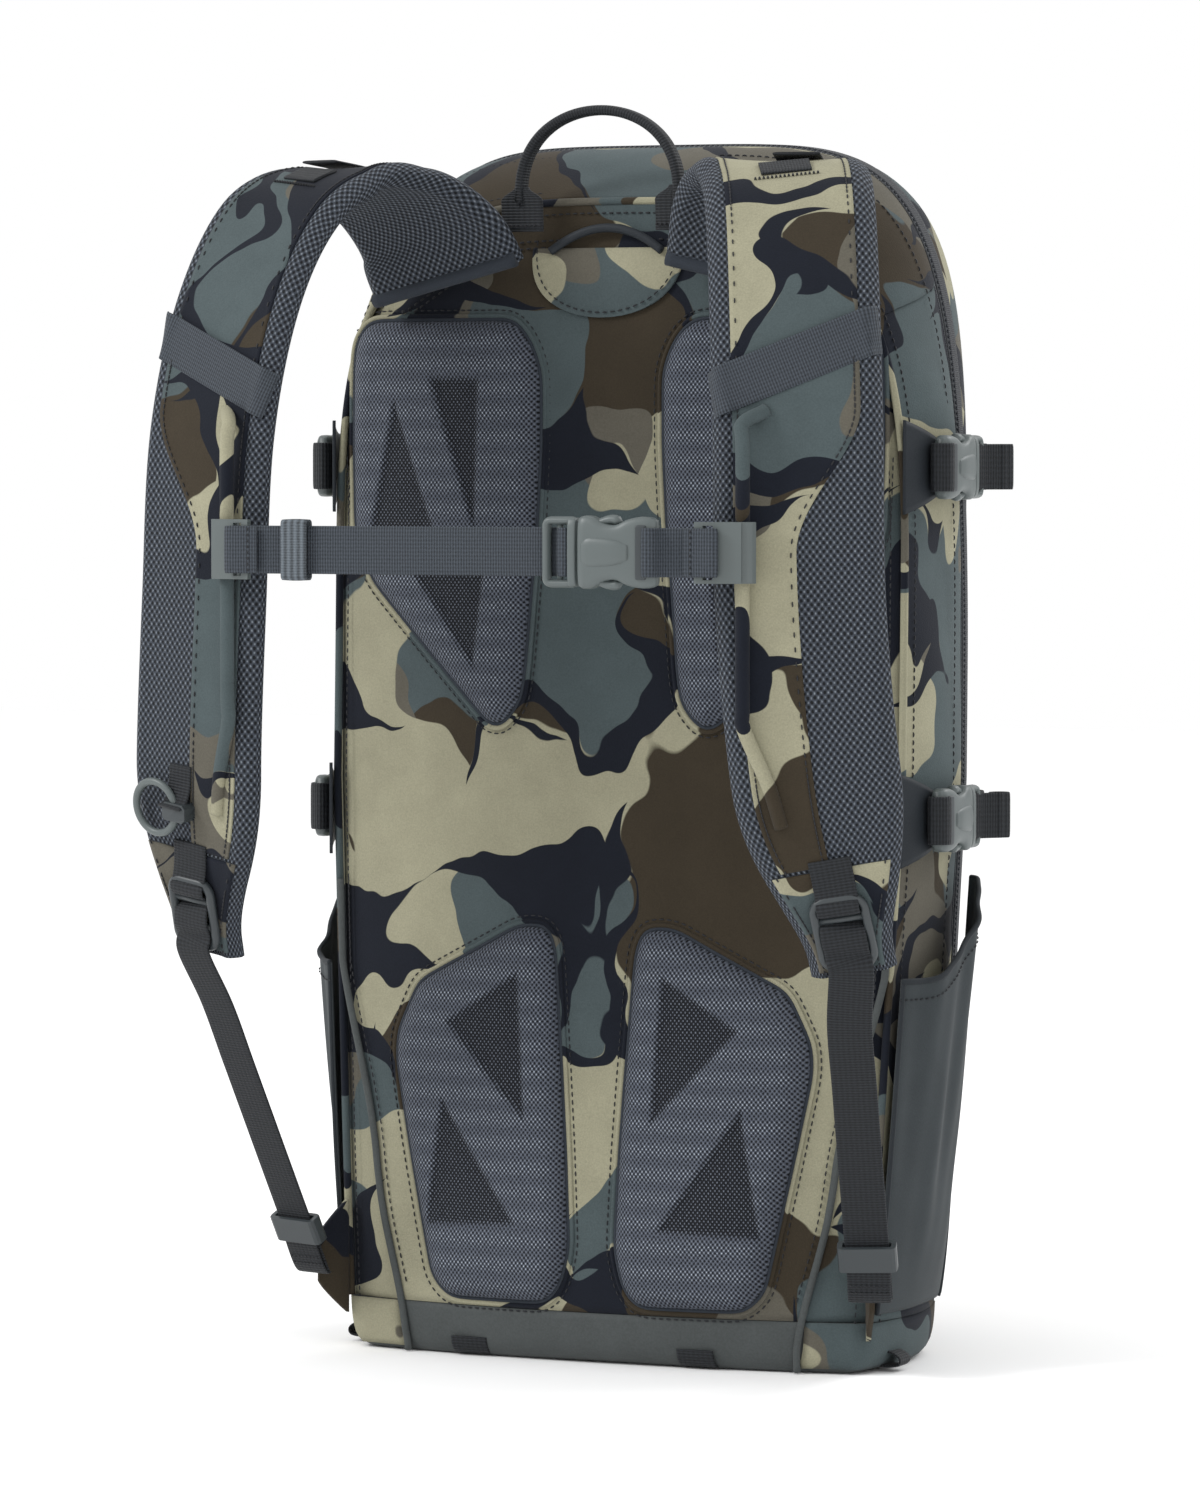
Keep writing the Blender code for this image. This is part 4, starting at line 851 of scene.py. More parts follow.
def smooth_path(points, steps):
    """A Catmull-Rom curve through points, with steps samples between each pair."""
    points = np.asarray(points, float)
    padded = np.vstack([2 * points[0] - points[1], points, 2 * points[-1] - points[-2]])
    a, b, c, e = padded[:-3, None], padded[1:-2, None], padded[2:-1, None], padded[3:, None]
    t = (np.arange(steps) / steps)[None, :, None]
    curve = 0.5 * (2 * b + (c - a) * t + (2 * a - 5 * b + 4 * c - e) * t**2 + (3 * b - a - 3 * c + e) * t**3)
    return np.concatenate([curve.reshape(-1, points.shape[1]), points[-1:]])


def across_frames(path, across):
    """Unit vectors along a path, across it (near the given direction) and outward."""
    along = np.gradient(path, axis=0)
    along /= np.linalg.norm(along, axis=1)[:, None]
    across = np.broadcast_to(np.asarray(across, float), path.shape)
    across = across - (across * along).sum(axis=1)[:, None] * along
    across = across / np.linalg.norm(across, axis=1)[:, None]
    return along, across, np.cross(along, across)


STRAP_WIDE, STRAP_END, STRAP_FOAM = 0.070, 0.036, 0.011
strap_line = smooth_path([(x, y - ORIGIN_DEPTH, z) for x, y, z in STRAP_ROUTE], 24)
strap_turn = math.radians(17.0) * ease(np.linspace(0.0, 1.0, len(strap_line)) / 0.5)
strap_frames = across_frames(strap_line, np.stack([np.cos(strap_turn), np.sin(strap_turn), 0 * strap_turn],
                                                  axis=1))


def on_strap(t, u, v):
    """Points of the right strap: t along it, u across to its outer side, v out from its middle."""
    t, u, v = np.broadcast_arrays(np.asarray(t, float), u, v)
    steps = np.linspace(0.0, 1.0, len(strap_line))
    sampled = [np.stack([np.interp(t, steps, field[:, i]) for i in range(3)], axis=-1)
               for field in (strap_line, strap_frames[1], strap_frames[2])]
    return sampled[0] + u[..., None] * sampled[1] + v[..., None] * sampled[2]


def strap_width(t):
    """The strap's width: a little wider at its root, and eased down over its last fifth."""
    wide = STRAP_WIDE + 0.006 * (1.0 - ease(t / 0.25))
    return wide + (STRAP_END - STRAP_WIDE) * ease((t - 0.80) / 0.18)


def strap_thick(t):
    """The foam's thickness: even, then eased down by 3 mm towards the end."""
    return STRAP_FOAM - 0.003 * ease((t - 0.82) / 0.12)


def face_height(t, u):
    """How far the strap's outer face stands from its middle: flat, with a roll along each edge."""
    half = strap_width(t) / 2
    edge = (half - np.abs(u)) / 0.0095
    round_off = np.where(edge < 1, np.sqrt(np.clip(1 - (1 - edge) ** 2 * 0.98, 0, 1)), 1.0)
    roll = 0.0011 * np.exp(-(((half - 0.0048 - np.abs(u)) / 0.0030) ** 2))
    return strap_thick(t) / 2 * round_off + roll * round_off


def strap_core(side):
    """The padded core: rings round the strap, its face by face_height and its lining a flatter curve."""
    t = np.linspace(0.0, 1.0, 260)[:, None]
    share = np.sin(np.linspace(-math.pi / 2, math.pi / 2, 34))[None, :]
    half = strap_width(t) / 2
    u = half * share
    face = on_strap(t, u, face_height(t, u))
    lining = on_strap(t, u[:, 1:-1][:, ::-1], -face_height(t, u[:, 1:-1][:, ::-1]) * 0.92)
    points = np.concatenate([face, lining], axis=1)
    return on_side(points, side)


def print_edge(t):
    """The printed panel's outer edge as a share of the half width, where it narrows beside the mesh."""
    return 1.0 - 1.02 * ease((t - 0.585) / 0.085)


BAND_SLOPE = 0.021
BAND_MIDDLE = 0.552
PANEL_INSET, END_INSET = 0.0088, 0.0042
PANEL_STAND = 0.0007


def strap_panel(t, low, high):
    """A cloth panel on the strap: a grid between two edge functions of t, PANEL_STAND off the foam."""
    q = np.linspace(0.0, 1.0, 30)[None, :]
    u = low(t) + (high(t) - low(t)) * q
    return on_strap(t, u, face_height(t, u) + PANEL_STAND)


def inner_edge(t):
    """The print's edge by the neck: PANEL_INSET in from the strap's edge."""
    return -strap_width(t) / 2 + PANEL_INSET


def outer_edge(t):
    """The print's edge by the arm: PANEL_INSET in from the strap's edge."""
    return strap_width(t) / 2 - PANEL_INSET


def narrow_edge(t):
    """The print's edge by the arm where it narrows beside open mesh."""
    return outer_edge(t) * print_edge(t)


# The strap mesh carries a painted highlight on its loop tips.
strap_mesh = knitted("strap_spacer_mesh", 0.0027, 0.0036, 0.0, 0.55, (0.005, 0.006, 0.008, 1.0),
                     (0.042, 0.050, 0.064, 1.0))
printed_strap = woven("printed_strap_cloth", (0.2, 0.2, 0.15), 0.85, shift=(0.71, 0.43, 0.22))


def inner_edge_end(t):
    """The end patch's edge by the neck: END_INSET in from the strap's edge."""
    return -strap_width(t) / 2 + END_INSET


def outer_edge_end(t):
    """The end patch's edge by the arm: END_INSET in from the strap's edge."""
    return strap_width(t) / 2 - END_INSET


def dress_strap(side, word):
    """One strap: its padded core, its root's binding, three cloth panels and a stitch line on each edge."""
    core = surface("strap_core_" + word, strap_core(side), strap_mesh, wrap=True, caps=True)
    settle(core, "pack", "camo_fabric", "shoulder_strap_" + word)
    root = on_strap(np.full(24, 0.010), np.linspace(-0.0365, 0.0365, 24), -0.0042)
    binding = tube("strap_root_binding_" + word, on_side(root, side), 0.0032, pad_piping)
    settle(binding, "pack", "camo_fabric")
    pieces = (("upper", np.linspace(0.0, 0.556, 150), inner_edge, outer_edge),
              ("lower", np.linspace(0.548, 0.868, 110), inner_edge, narrow_edge),
              ("end", np.linspace(0.872, 0.992, 40), inner_edge_end, outer_edge_end))
    for name, t, low, high in pieces:
        points = on_side(strap_panel(t[:, None], low, high), side)
        panel = surface(f"strap_{name}_print_{word}", points, printed_strap)
        settle(thicken(panel, 0.0012, -1.0), "pack", "camo_fabric")
        for edge, shift, hand in ((low, 0.0022, "inner"), (high, -0.0022, "outer")):
            inset = edge(t) + shift
            path = on_strap(t, inset, face_height(t, inset) + 0.0009)
            sewn = stitches(f"strap_{name}_{hand}_stitch_{word}", on_side(path, side),
                            on_side(strap_out(t), side), thread)
            settle(sewn, "pack", "camo_fabric")


def strap_out(t):
    """The strap's outward direction at t."""
    return on_strap(t, np.zeros_like(t), 1.0) - on_strap(t, np.zeros_like(t), 0.0)


def build_web_weave():
    """Webbing: ribs across the web between columns of warp, drawn from a UV in metres."""
    group, given, result = new_group("web_weave", [("NodeSocketVector", "Lay", None),
                                                   ("NodeSocketColor", "Color", (0.03, 0.035, 0.045, 1)),
                                                   ("NodeSocketFloat", "Rib", 0.0013),
                                                   ("NodeSocketFloat", "Column", 0.0022)],
                                     [("NodeSocketColor", "Color"), ("NodeSocketVector", "Normal")])
    parts = link_nodes(group, "ShaderNodeSeparateXYZ", {0: given.outputs["Lay"]})
    waves = []
    for axis, step in (("Y", "Rib"), ("X", "Column")):
        turns = maths(group, "DIVIDE", parts.outputs[axis], given.outputs[step])
        angle = maths(group, "MULTIPLY", turns.outputs[0], 2 * math.pi)
        waves.append(maths(group, "SINE", angle.outputs[0]).outputs[0])
    fluff = link_nodes(group, "ShaderNodeTexNoise", {"Vector": given.outputs["Lay"], "Scale": 1200.0,
                                                     "Detail": 2.0})
    rib = maths(group, "MULTIPLY_ADD", waves[0], 0.5, fluff.outputs["Fac"])
    height = maths(group, "MULTIPLY_ADD", waves[1], 0.22, rib.outputs[0])
    tone = maths(group, "MULTIPLY_ADD", height.outputs[0], 0.75, 0.55)
    shade = link_nodes(group, "ShaderNodeVectorMath", {0: given.outputs["Color"], "Scale": tone.outputs[0]},
                       operation="SCALE")
    bump = link_nodes(group, "ShaderNodeBump", {"Strength": 0.5, "Distance": 0.0005,
                                                "Height": height.outputs[0]})
    group.links.new(shade.outputs[0], result.inputs["Color"])
    group.links.new(bump.outputs[0], result.inputs["Normal"])
    return group


weave_group = build_web_weave()


def webbed(name, colour, rib=0.0013, column=0.0022):
    """Woven webbing of one colour: the weave group on the piece's own UV, its rib and column in metres."""
    made = plain_finish(name, colour, 0.65)
    tree = made.node_tree
    shader = tree.nodes["Principled BSDF"]
    shader.inputs["Sheen Weight"].default_value = 0.03
    shader.inputs["Specular IOR Level"].default_value = 0.25
    lay = link_nodes(tree, "ShaderNodeUVMap", {}, uv_map="lay")
    weave = link_nodes(tree, "ShaderNodeGroup", {"Lay": lay.outputs["UV"]}, node_tree=weave_group)
    weave.inputs["Color"].default_value = (*colour, 1.0)
    weave.inputs["Rib"].default_value = rib
    weave.inputs["Column"].default_value = column
    tree.links.new(weave.outputs["Color"], shader.inputs["Base Color"])
    tree.links.new(weave.outputs["Normal"], shader.inputs["Normal"])
    return made


def squared(wave, power):
    """A sine or cosine drawn towards a square wave: its size raised to a power below 1, its sign kept."""
    return np.sign(wave) * np.abs(wave) ** power


def webbing(name, path, across, width, thick, finish, side=1):
    """A flat web along a path: a rounded-edge section of width by thick, held level with across."""
    _, wide, outward = across_frames(np.asarray(path, float), across)
    turn = np.linspace(0, 2 * math.pi, 20, endpoint=False)
    u = width / 2 * squared(np.cos(turn), 0.35)
    v = thick / 2 * squared(np.sin(turn), 0.6)
    points = path[:, None] + u[:, None] * wide[:, None] + v[:, None] * outward[:, None]
    points = on_side(points, side)
    return surface(name, points, finish, wrap=True, caps=True)


WEB_WIDE, WEB_THICK = 0.0200, 0.0014
dark_web = webbed("adjuster_webbing", (0.013, 0.015, 0.018))
slate_web = webbed("slate_webbing", (0.038, 0.046, 0.057), rib=0.0012, column=0.0016)

for side, word in ((1, "right"), (-1, "left")):
    dress_strap(side, word)
    q = np.linspace(-1.0, 1.0, 60)
    t = BAND_MIDDLE - BAND_SLOPE * q
    u = strap_width(t) / 2 * 0.985 * q
    lay = on_strap(t, u, face_height(t, u) + 0.0014)
    band = webbing("cross_band_" + word, lay, on_strap(t[:1] + 0.02, 0.0, 0.0) - on_strap(t[:1], 0.0, 0.0),
                   0.0200, 0.0011, slate_web, side)
    settle(band, "pack", "webbing")
    rail = np.array([on_strap(0.585, -0.0125, face_height(0.585, -0.0125)), (0.1165, -0.1790, 0.404),
                     (0.117, -0.1800, 0.394), (0.117, -0.1800, 0.340), (0.117, -0.1800, 0.290),
                     (0.1172, -0.1788, 0.280), on_strap(0.80, -0.0190, 0.0070),
                     on_strap(0.83, -0.0165, 0.0060)])
    path = smooth_path(rail, 14)
    piping = tube("rail_piping_" + word, on_side(path, side), 0.0030, printed_strap, sides=14)
    settle(piping, "pack", "camo_fabric", "sternum_rail_" + word)


# ---- Sternum strap: ribbed webs between two clips that ride the piped rails, and a side-release buckle ----
# The buckle is satin moulded plastic; each web turns over its end bar and is stitched back on itself.

STERNUM_Z = 0.352
FACE_Y = -0.1892
WEB_Y = -0.1915


def axes(origin, u, v):
    """A local frame as (origin, rows): X along u, Y near v, Z outward from both."""
    u = np.asarray(u, float) / np.linalg.norm(u)
    v = np.asarray(v, float) - u * np.dot(u, v)
    v = v / np.linalg.norm(v)
    return np.asarray(origin, float), np.array([u, v, np.cross(u, v)])


def put(local, points, side=1):
    """Points of a local frame in the row frame, mirrored for the left."""
    placed = local[0] + np.asarray(points, float) @ local[1]
    return on_side(placed, side)


def loft(name, local, stations, finish, side=1, power=4.5):
    """A closed moulded body along a frame's X: each station is (length, width, lowest, highest)."""
    rows = smooth_path(stations, 5)
    turn = np.linspace(0, 2 * math.pi, 32, endpoint=False)
    wide = squared(np.cos(turn), 2 / power)
    tall = squared(np.sin(turn), 2 / power)
    y = rows[:, 1:2] / 2 * wide
    z = (rows[:, 2:3] + rows[:, 3:4]) / 2 + (rows[:, 3:4] - rows[:, 2:3]) / 2 * tall
    x = np.broadcast_to(rows[:, :1], y.shape)
    return surface(name, put(local, np.stack([x, y, z], axis=-1), side), finish, wrap=True,
                   caps=True)


def rod(name, local, path, radius, finish, side=1, closed=False, flat=1.0, sides=12):
    """A moulded bar or ring along a local path, rounded or flattened outward."""
    up = put((np.zeros(3), local[1]), [[0, 0, 1.0]], side)[0]
    return tube(name, put(local, path, side), radius, finish, up=up, closed=closed, sides=sides, flat=flat)


def rounded_loop(width, height, radius, level, centre=(0.0, 0.0)):
    """A rounded rectangle's corners as a closed path, corner arcs of eight points."""
    turn = np.radians(np.linspace(0, 90, 8))
    found = []
    for k, (sx, sy) in enumerate(((1, 1), (-1, 1), (-1, -1), (1, -1))):
        x = centre[0] + sx * (width / 2 - radius) + radius * np.cos(turn + k * math.pi / 2)
        y = centre[1] + sy * (height / 2 - radius) + radius * np.sin(turn + k * math.pi / 2)
        found.append(np.stack([x, y, np.full(8, level)], axis=-1))
    return np.concatenate(found)


def moulded(name, colour):
    """Moulded acetal: a satin face with a faint grain."""
    made = plain_finish(name, colour, 0.42)
    tree = made.node_tree
    spot = link_nodes(tree, "ShaderNodeTexCoord", {})
    grain = link_nodes(tree, "ShaderNodeTexNoise", {"Vector": spot.outputs["Object"], "Scale": 700.0,
                                                    "Detail": 2.0})
    bump = link_nodes(tree, "ShaderNodeBump", {"Strength": 0.12, "Distance": 0.0003,
                                               "Height": grain.outputs["Fac"]})
    tree.links.new(bump.outputs[0], tree.nodes["Principled BSDF"].inputs["Normal"])
    return made


def keep_node(name, finish, bevel=0.0005):
    """A CAD node that stays on show: its finish, its loose triangles welded and its edges rounded."""
    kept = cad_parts[name]
    for material_slot in kept.material_slots:
        material_slot.material = finish
    kept.modifiers.new("welded", "WELD").merge_threshold = 0.00001
    rounded = kept.modifiers.new("rounded_edges", "BEVEL")
    rounded.width = bevel
    rounded.segments = 2
    rounded.limit_method = "ANGLE"
    rounded.angle_limit = math.radians(30)


grey_plastic = moulded("satin_grey_plastic", (0.085, 0.102, 0.102))
dark_plastic = moulded("dark_grey_plastic", (0.030, 0.037, 0.041))
elastic = webbed("elastic_keeper", (0.085, 0.100, 0.115), rib=0.0030, column=0.0011)


def build_buckle(name, local, length, width, base, socket_body, plug_body, socket_node, plug_node, finish,
                 side=1):
    """A side-release buckle: a waisted socket with a raised middle and a dark painted-shade patch near its
    far end, and a barred plug whose prongs show.
    """
    w, m = width, length / 0.034
    waist = [(0.0003, 0.94 * w, 0.0008, 0.0092), (0.0025 * m, w, 0.0, 0.0100),
             (0.0065 * m, 0.97 * w, 0.0, 0.0100), (0.0110 * m, 0.80 * w, 0.0, 0.0100),
             (0.0165 * m, 0.76 * w, 0.0, 0.0098), (0.0215 * m, 0.90 * w, 0.0, 0.0094),
             (0.0265 * m, 0.97 * w, 0.0, 0.0088), (0.0310 * m, 0.96 * w, 0.0004, 0.0080),
             (length - 0.0003, 0.88 * w, 0.0016, 0.0066)]
    shell = loft(name + "_socket", local, waist, finish, side)
    settle(shell, socket_body, "moulded_plastic", socket_node)
    crest = [(0.0020 * m, 0.30 * w, 0.0060, 0.0102), (0.0050 * m, 0.42 * w, 0.0060, 0.0109),
             (0.0120 * m, 0.40 * w, 0.0060, 0.0111), (0.0180 * m, 0.34 * w, 0.0060, 0.0108),
             (0.0225 * m, 0.24 * w, 0.0060, 0.0098)]
    ridge = loft(name + "_ridge", local, crest, finish, side, power=3.0)
    settle(ridge, socket_body, "moulded_plastic")
    # Painted shade: a dark plastic patch on the socket near its far end stands for the shade in its opening
    # there.
    painted_shade_stations = [(length * 0.765, 0.72 * w, 0.0070, 0.0094), (length * 0.78, 0.74 * w, 0.0070, 0.0095),
              (length * 0.87, 0.74 * w, 0.0070, 0.0090), (length * 0.885, 0.72 * w, 0.0070, 0.0088)]
    painted_shade_patch = loft(name + "_well", local, painted_shade_stations, dark_plastic, side, power=8.0)
    settle(painted_shade_patch, socket_body, "moulded_plastic")
    outline = rounded_loop(base - 0.003, width - 0.0042, 0.0022, 0.0048, (-base / 2 - 0.0002, 0.0))
    ring = rod(name + "_plug_frame", local, outline, 0.0017, finish, side, True, 1.7)
    settle(ring, plug_body, "moulded_plastic", plug_node)
    collar = [(-0.0046, 0.90 * w, 0.0014, 0.0086), (-0.0040, 0.94 * w, 0.0008, 0.0092),
              (-0.0016, 0.94 * w, 0.0008, 0.0092), (-0.0010, 0.90 * w, 0.0014, 0.0086)]
    shoulder = loft(name + "_shoulder", local, collar, finish, side)
    settle(shoulder, plug_body, "moulded_plastic")
    bar_x, bar_y = -base * 0.56, width / 2 - 0.003
    bar_line = [(bar_x, -bar_y, 0.0048), (bar_x, 0.0, 0.0050), (bar_x, bar_y, 0.0048)]
    bar = rod(name + "_plug_bar", local, bar_line, 0.0013, finish, side)
    settle(bar, plug_body, "moulded_plastic")
    for hand in (-1, 1):
        route = [(-0.0015, 0.25 * w, 0.0050), (0.0050 * m, 0.335 * w, 0.0050),
                 (0.0105 * m, 0.420 * w, 0.0050), (0.0150 * m, 0.445 * w, 0.0050),
                 (0.0185 * m, 0.400 * w, 0.0050)]
        path = smooth_path(np.array(route) * (1, hand, 1), 5)
        size = np.interp(np.linspace(0, 1, len(path)), [0, 0.5, 0.85, 1.0], [0.0016, 0.0019, 0.0021, 0.0006])
        prong = rod(f"{name}_prong_{'near' if hand > 0 else 'far'}", local, path, size, finish, side,
                    flat=1.25)
        settle(prong, plug_body, "moulded_plastic")
    tongue = loft(name + "_tongue", local, [(-0.001, 0.10 * w, 0.0044, 0.0066),
                                            (0.016 * m, 0.07 * w, 0.0046, 0.0064)], finish, side)
    settle(tongue, plug_body, "moulded_plastic")


sternum_local = axes((0.0515, FACE_Y, STERNUM_Z), (1, 0, 0), (0, 0, 1))
build_buckle("sternum_buckle", sternum_local, 0.034, 0.030, 0.0165, "sternum_right", "sternum_plug",
             "sternum_socket", "sternum_plug", grey_plastic)


def sagging(x):
    """A web's faint waviness: a sine 0.6 mm high and about 100 mm long, faded out at the buckle."""
    return 0.0006 * np.sin(x * 60.0) * np.clip((0.030 - x) / 0.03, 0, 1)


x = np.linspace(-0.1085, 0.0385, 90)
left_web = np.stack([x, WEB_Y + 0.0004 + sagging(x), np.full(90, STERNUM_Z)], axis=-1)
left_web = np.concatenate([left_web, [(0.0405, WEB_Y - 0.0012, STERNUM_Z),
                                      (0.0425, WEB_Y - 0.0042, STERNUM_Z),
                                      (0.0440, WEB_Y - 0.0050, STERNUM_Z),
                                      (0.0462, WEB_Y - 0.0046, STERNUM_Z),
                                      (0.0478, WEB_Y - 0.0014, STERNUM_Z)]])
piece = webbing("sternum_webbing_left", left_web, (0, 0, 1), WEB_WIDE, WEB_THICK, slate_web)
settle(piece, "sternum_left", "webbing", "sternum_web_left")
right_web = smooth_path([(0.0795, FACE_Y - 0.0075, STERNUM_Z), (0.0815, FACE_Y - 0.0098, STERNUM_Z),
                         (0.0845, FACE_Y - 0.0090, STERNUM_Z), (0.0870, FACE_Y - 0.0052, STERNUM_Z),
                         (0.0900, WEB_Y - 0.0010, STERNUM_Z), (0.0960, WEB_Y, STERNUM_Z),
                         (0.1090, WEB_Y, STERNUM_Z)], 8)
piece = webbing("sternum_webbing_right", right_web, (0, 0, 1), WEB_WIDE, WEB_THICK, slate_web)
settle(piece, "sternum_right", "webbing", "sternum_web_right")
loop = put(axes((-0.079, WEB_Y, STERNUM_Z), (1, 0, 0), (0, 0, 1)), [[0, 0, 0]])[0]
ring = rounded_loop(0.0234, 0.0042, 0.0012, 0.0)[:, [2, 1, 0]] + loop
span = np.linspace(-0.0058, 0.0058, 8)
bulge = 1 + 0.02 * np.cos(span / 0.0058 * math.pi / 2)
points = np.stack([(ring - loop) * scale + loop + (offset, 0, 0) for offset, scale in zip(span, bulge)])
piece = surface("sternum_keeper_band", points, elastic, wrap=True)
settle(thicken(piece, 0.0009, 1.0), "sternum_left", "webbing", "sternum_keeper")
for side, word in ((1, "right"), (-1, "left")):
    keep_node("sternum_slider_" + word, grey_plastic, 0.0007)
    path = smooth_path([(0.1085, WEB_Y, STERNUM_Z), (0.1110, WEB_Y - 0.0016, STERNUM_Z),
                        (0.1085, WEB_Y - 0.0030, STERNUM_Z), (0.1010, WEB_Y - 0.0024, STERNUM_Z),
                        (0.0965, WEB_Y - 0.0018, STERNUM_Z)], 8)
    fold = webbing("sternum_web_fold_" + word, path, (0, 0, 1), 0.0198, 0.0013, slate_web, side)
    settle(fold, "sternum_" + word, "webbing")
    line = np.array([(0.1000, WEB_Y - 0.0032, STERNUM_Z - 0.0085),
                     (0.1000, WEB_Y - 0.0032, STERNUM_Z + 0.0085)])
    tack = stitches("sternum_web_tack_" + word, on_side(line, side), (0, -1, 0), thread, pitch=0.0020)
    settle(tack, "sternum_" + word, "webbing")


# ---- Side compression: coated tabs hold the sockets; webs from the door's face end in the plugs ----
# Each web passes its plug's bar and its tail is rolled and stitched into a stand-off loop.

BUCKLE_X, BUCKLE_DEPTH = 0.1415, 0.055
SIDE_LEVELS = (("upper", 0.386), ("lower", 0.236))
coated_tab = woven("coated_tab_cloth", (0.024, 0.028, 0.033), 0.5, threads=1500.0, height=0.08, sheen=0.0)


def door_section(z):
    """The door's right side at one height, from its rim forward: (x, depth) of each profile station."""
    s = np.linspace(0.0, 1.0, 500)
    rim_x, rim_z = arch(ZIP_ARCH, s, DOOR_FOOT + FOLD_GAP)
    spine = door_spine(s)
    profile = front_profile(s, 60)
    start = zip_depth(s) + 0.001
    found = []
    for j in range(1, 26):
        heights = spine + (rim_z - spine) * profile[:, j, 0]
        depth = start + (front_depth(heights) - start) * profile[:, j, 1]
        found.append((np.interp(z, heights, rim_x * profile[:, j, 0]), np.interp(z, heights, depth)))
    return np.array(found)


for side, word in ((1, "right"), (-1, "left")):
    for level, z in SIDE_LEVELS:
        origin = place(BUCKLE_X, BUCKLE_DEPTH, z)
        local = axes(origin, (0, -1, 0), (0, 0, -1))
        build_buckle(f"side_buckle_{level}_{word}", local, 0.030, 0.028, 0.0145, "pack",
                     f"side_plug_{level}_{word}", f"side_socket_{level}_{word}",
                     f"side_plug_{level}_{word}", grey_plastic, side)
        k = np.linspace(0.0, 1.0, 24)[:, None]
        across = np.linspace(-1.0, 1.0, 16)[None, :]
        sewn, end = place(0.1338, 0.0130, z), place(0.1405, 0.0330, z)
        half = 0.0200 - 0.0075 * k
        points = sewn + (end - sewn) * k[..., None] + np.stack([0.0012 * np.sin(math.pi * k) + 0 * across,
                                                              0 * k * across, half * across], axis=-1)
        tab = surface(f"side_tab_cloth_{level}_{word}", on_side(points, side), coated_tab)
        settle(thicken(tab, 0.0014, 0.0), "pack", "coated_fabric", f"side_tab_{level}_{word}")
        bar_web = put(local, [(0.0255, 0, 0.0005), (0.0300, 0, 0.0004), (0.0325, 0, 0.0030),
                              (0.0300, 0, 0.0078), (0.0262, 0, 0.0088), (0.0245, 0, 0.0070)])
        anchor = webbing(f"side_anchor_web_{level}_{word}", smooth_path(bar_web, 6), (0, 0, 1), 0.0205,
                         0.0012, dark_web, side)
        settle(anchor, "pack", "webbing")
        section = door_section(z)
        along = np.gradient(section, axis=0)
        along /= np.linalg.norm(along, axis=1)[:, None]
        out = section + np.stack([along[:, 1], -along[:, 0]], axis=1) * 0.0022
        out = out[out[:, 1] > 0.1000][:-1:2]
        lie = place(out[:, 0], out[:, 1], z)
        shift = origin[1] - BUCKLE_DEPTH
        start = np.array([(0.1432, shift + 0.0640, z), (0.1472, shift + 0.0610, z),
                          (0.1480, shift + 0.0650, z), (0.1452, shift + 0.0690, z),
                          (0.1440, shift + 0.0760, z), (0.1430, shift + 0.0880, z)])
        path = smooth_path(np.concatenate([start, lie]), 4)
        web = webbing(f"side_webbing_{level}_{word}", path, (0, 0, 1), WEB_WIDE, WEB_THICK, dark_web, side)
        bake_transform(web)
        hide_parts(f"side_web_{level}_{word}")
        turn = np.linspace(0, 2.6 * math.pi, 40)
        roll = 0.0046 - 0.0011 * turn / turn[-1] * 1.6
        curl = np.stack([0.1530 + roll * np.cos(turn), shift + 0.0800 + roll * np.sin(turn) * 1.25,
                         np.full(40, z)], axis=-1)
        lead = smooth_path([(0.1478, shift + 0.0650, z), (0.1495, shift + 0.0700, z),
                            (0.1530, shift + 0.0745, z), tuple(curl[0])], 6)[:-1]
        tail = webbing(f"side_web_roll_{level}_{word}", np.concatenate([lead, curl]), (0, 0, 1), 0.0196,
                       0.0011, dark_web, side)
        settle(tail, f"side_plug_{level}_{word}", "webbing")


# ---- Strap ends: ladder locks, adjuster webs with folded tails and C keepers, and the printed wings ----
# The adjusters hang from the locks to the wings at the bag's lower corners.

LOCK_AT = 0.938
ADJUSTER_ACROSS = np.array([0.956, 0.292, 0.0])
ADJUSTER_FOOT = np.array([0.1320, -0.0760, 0.046])


def on_strap_frame(t, u, v):
    """A local frame on the right strap: X across it, Y up along it, Z outward."""
    origin = on_strap(t, u, v)
    return axes(origin, on_strap(t, u + 0.01, v) - origin, on_strap(t - 0.01, u, v)
                - on_strap(t + 0.01, u, v))


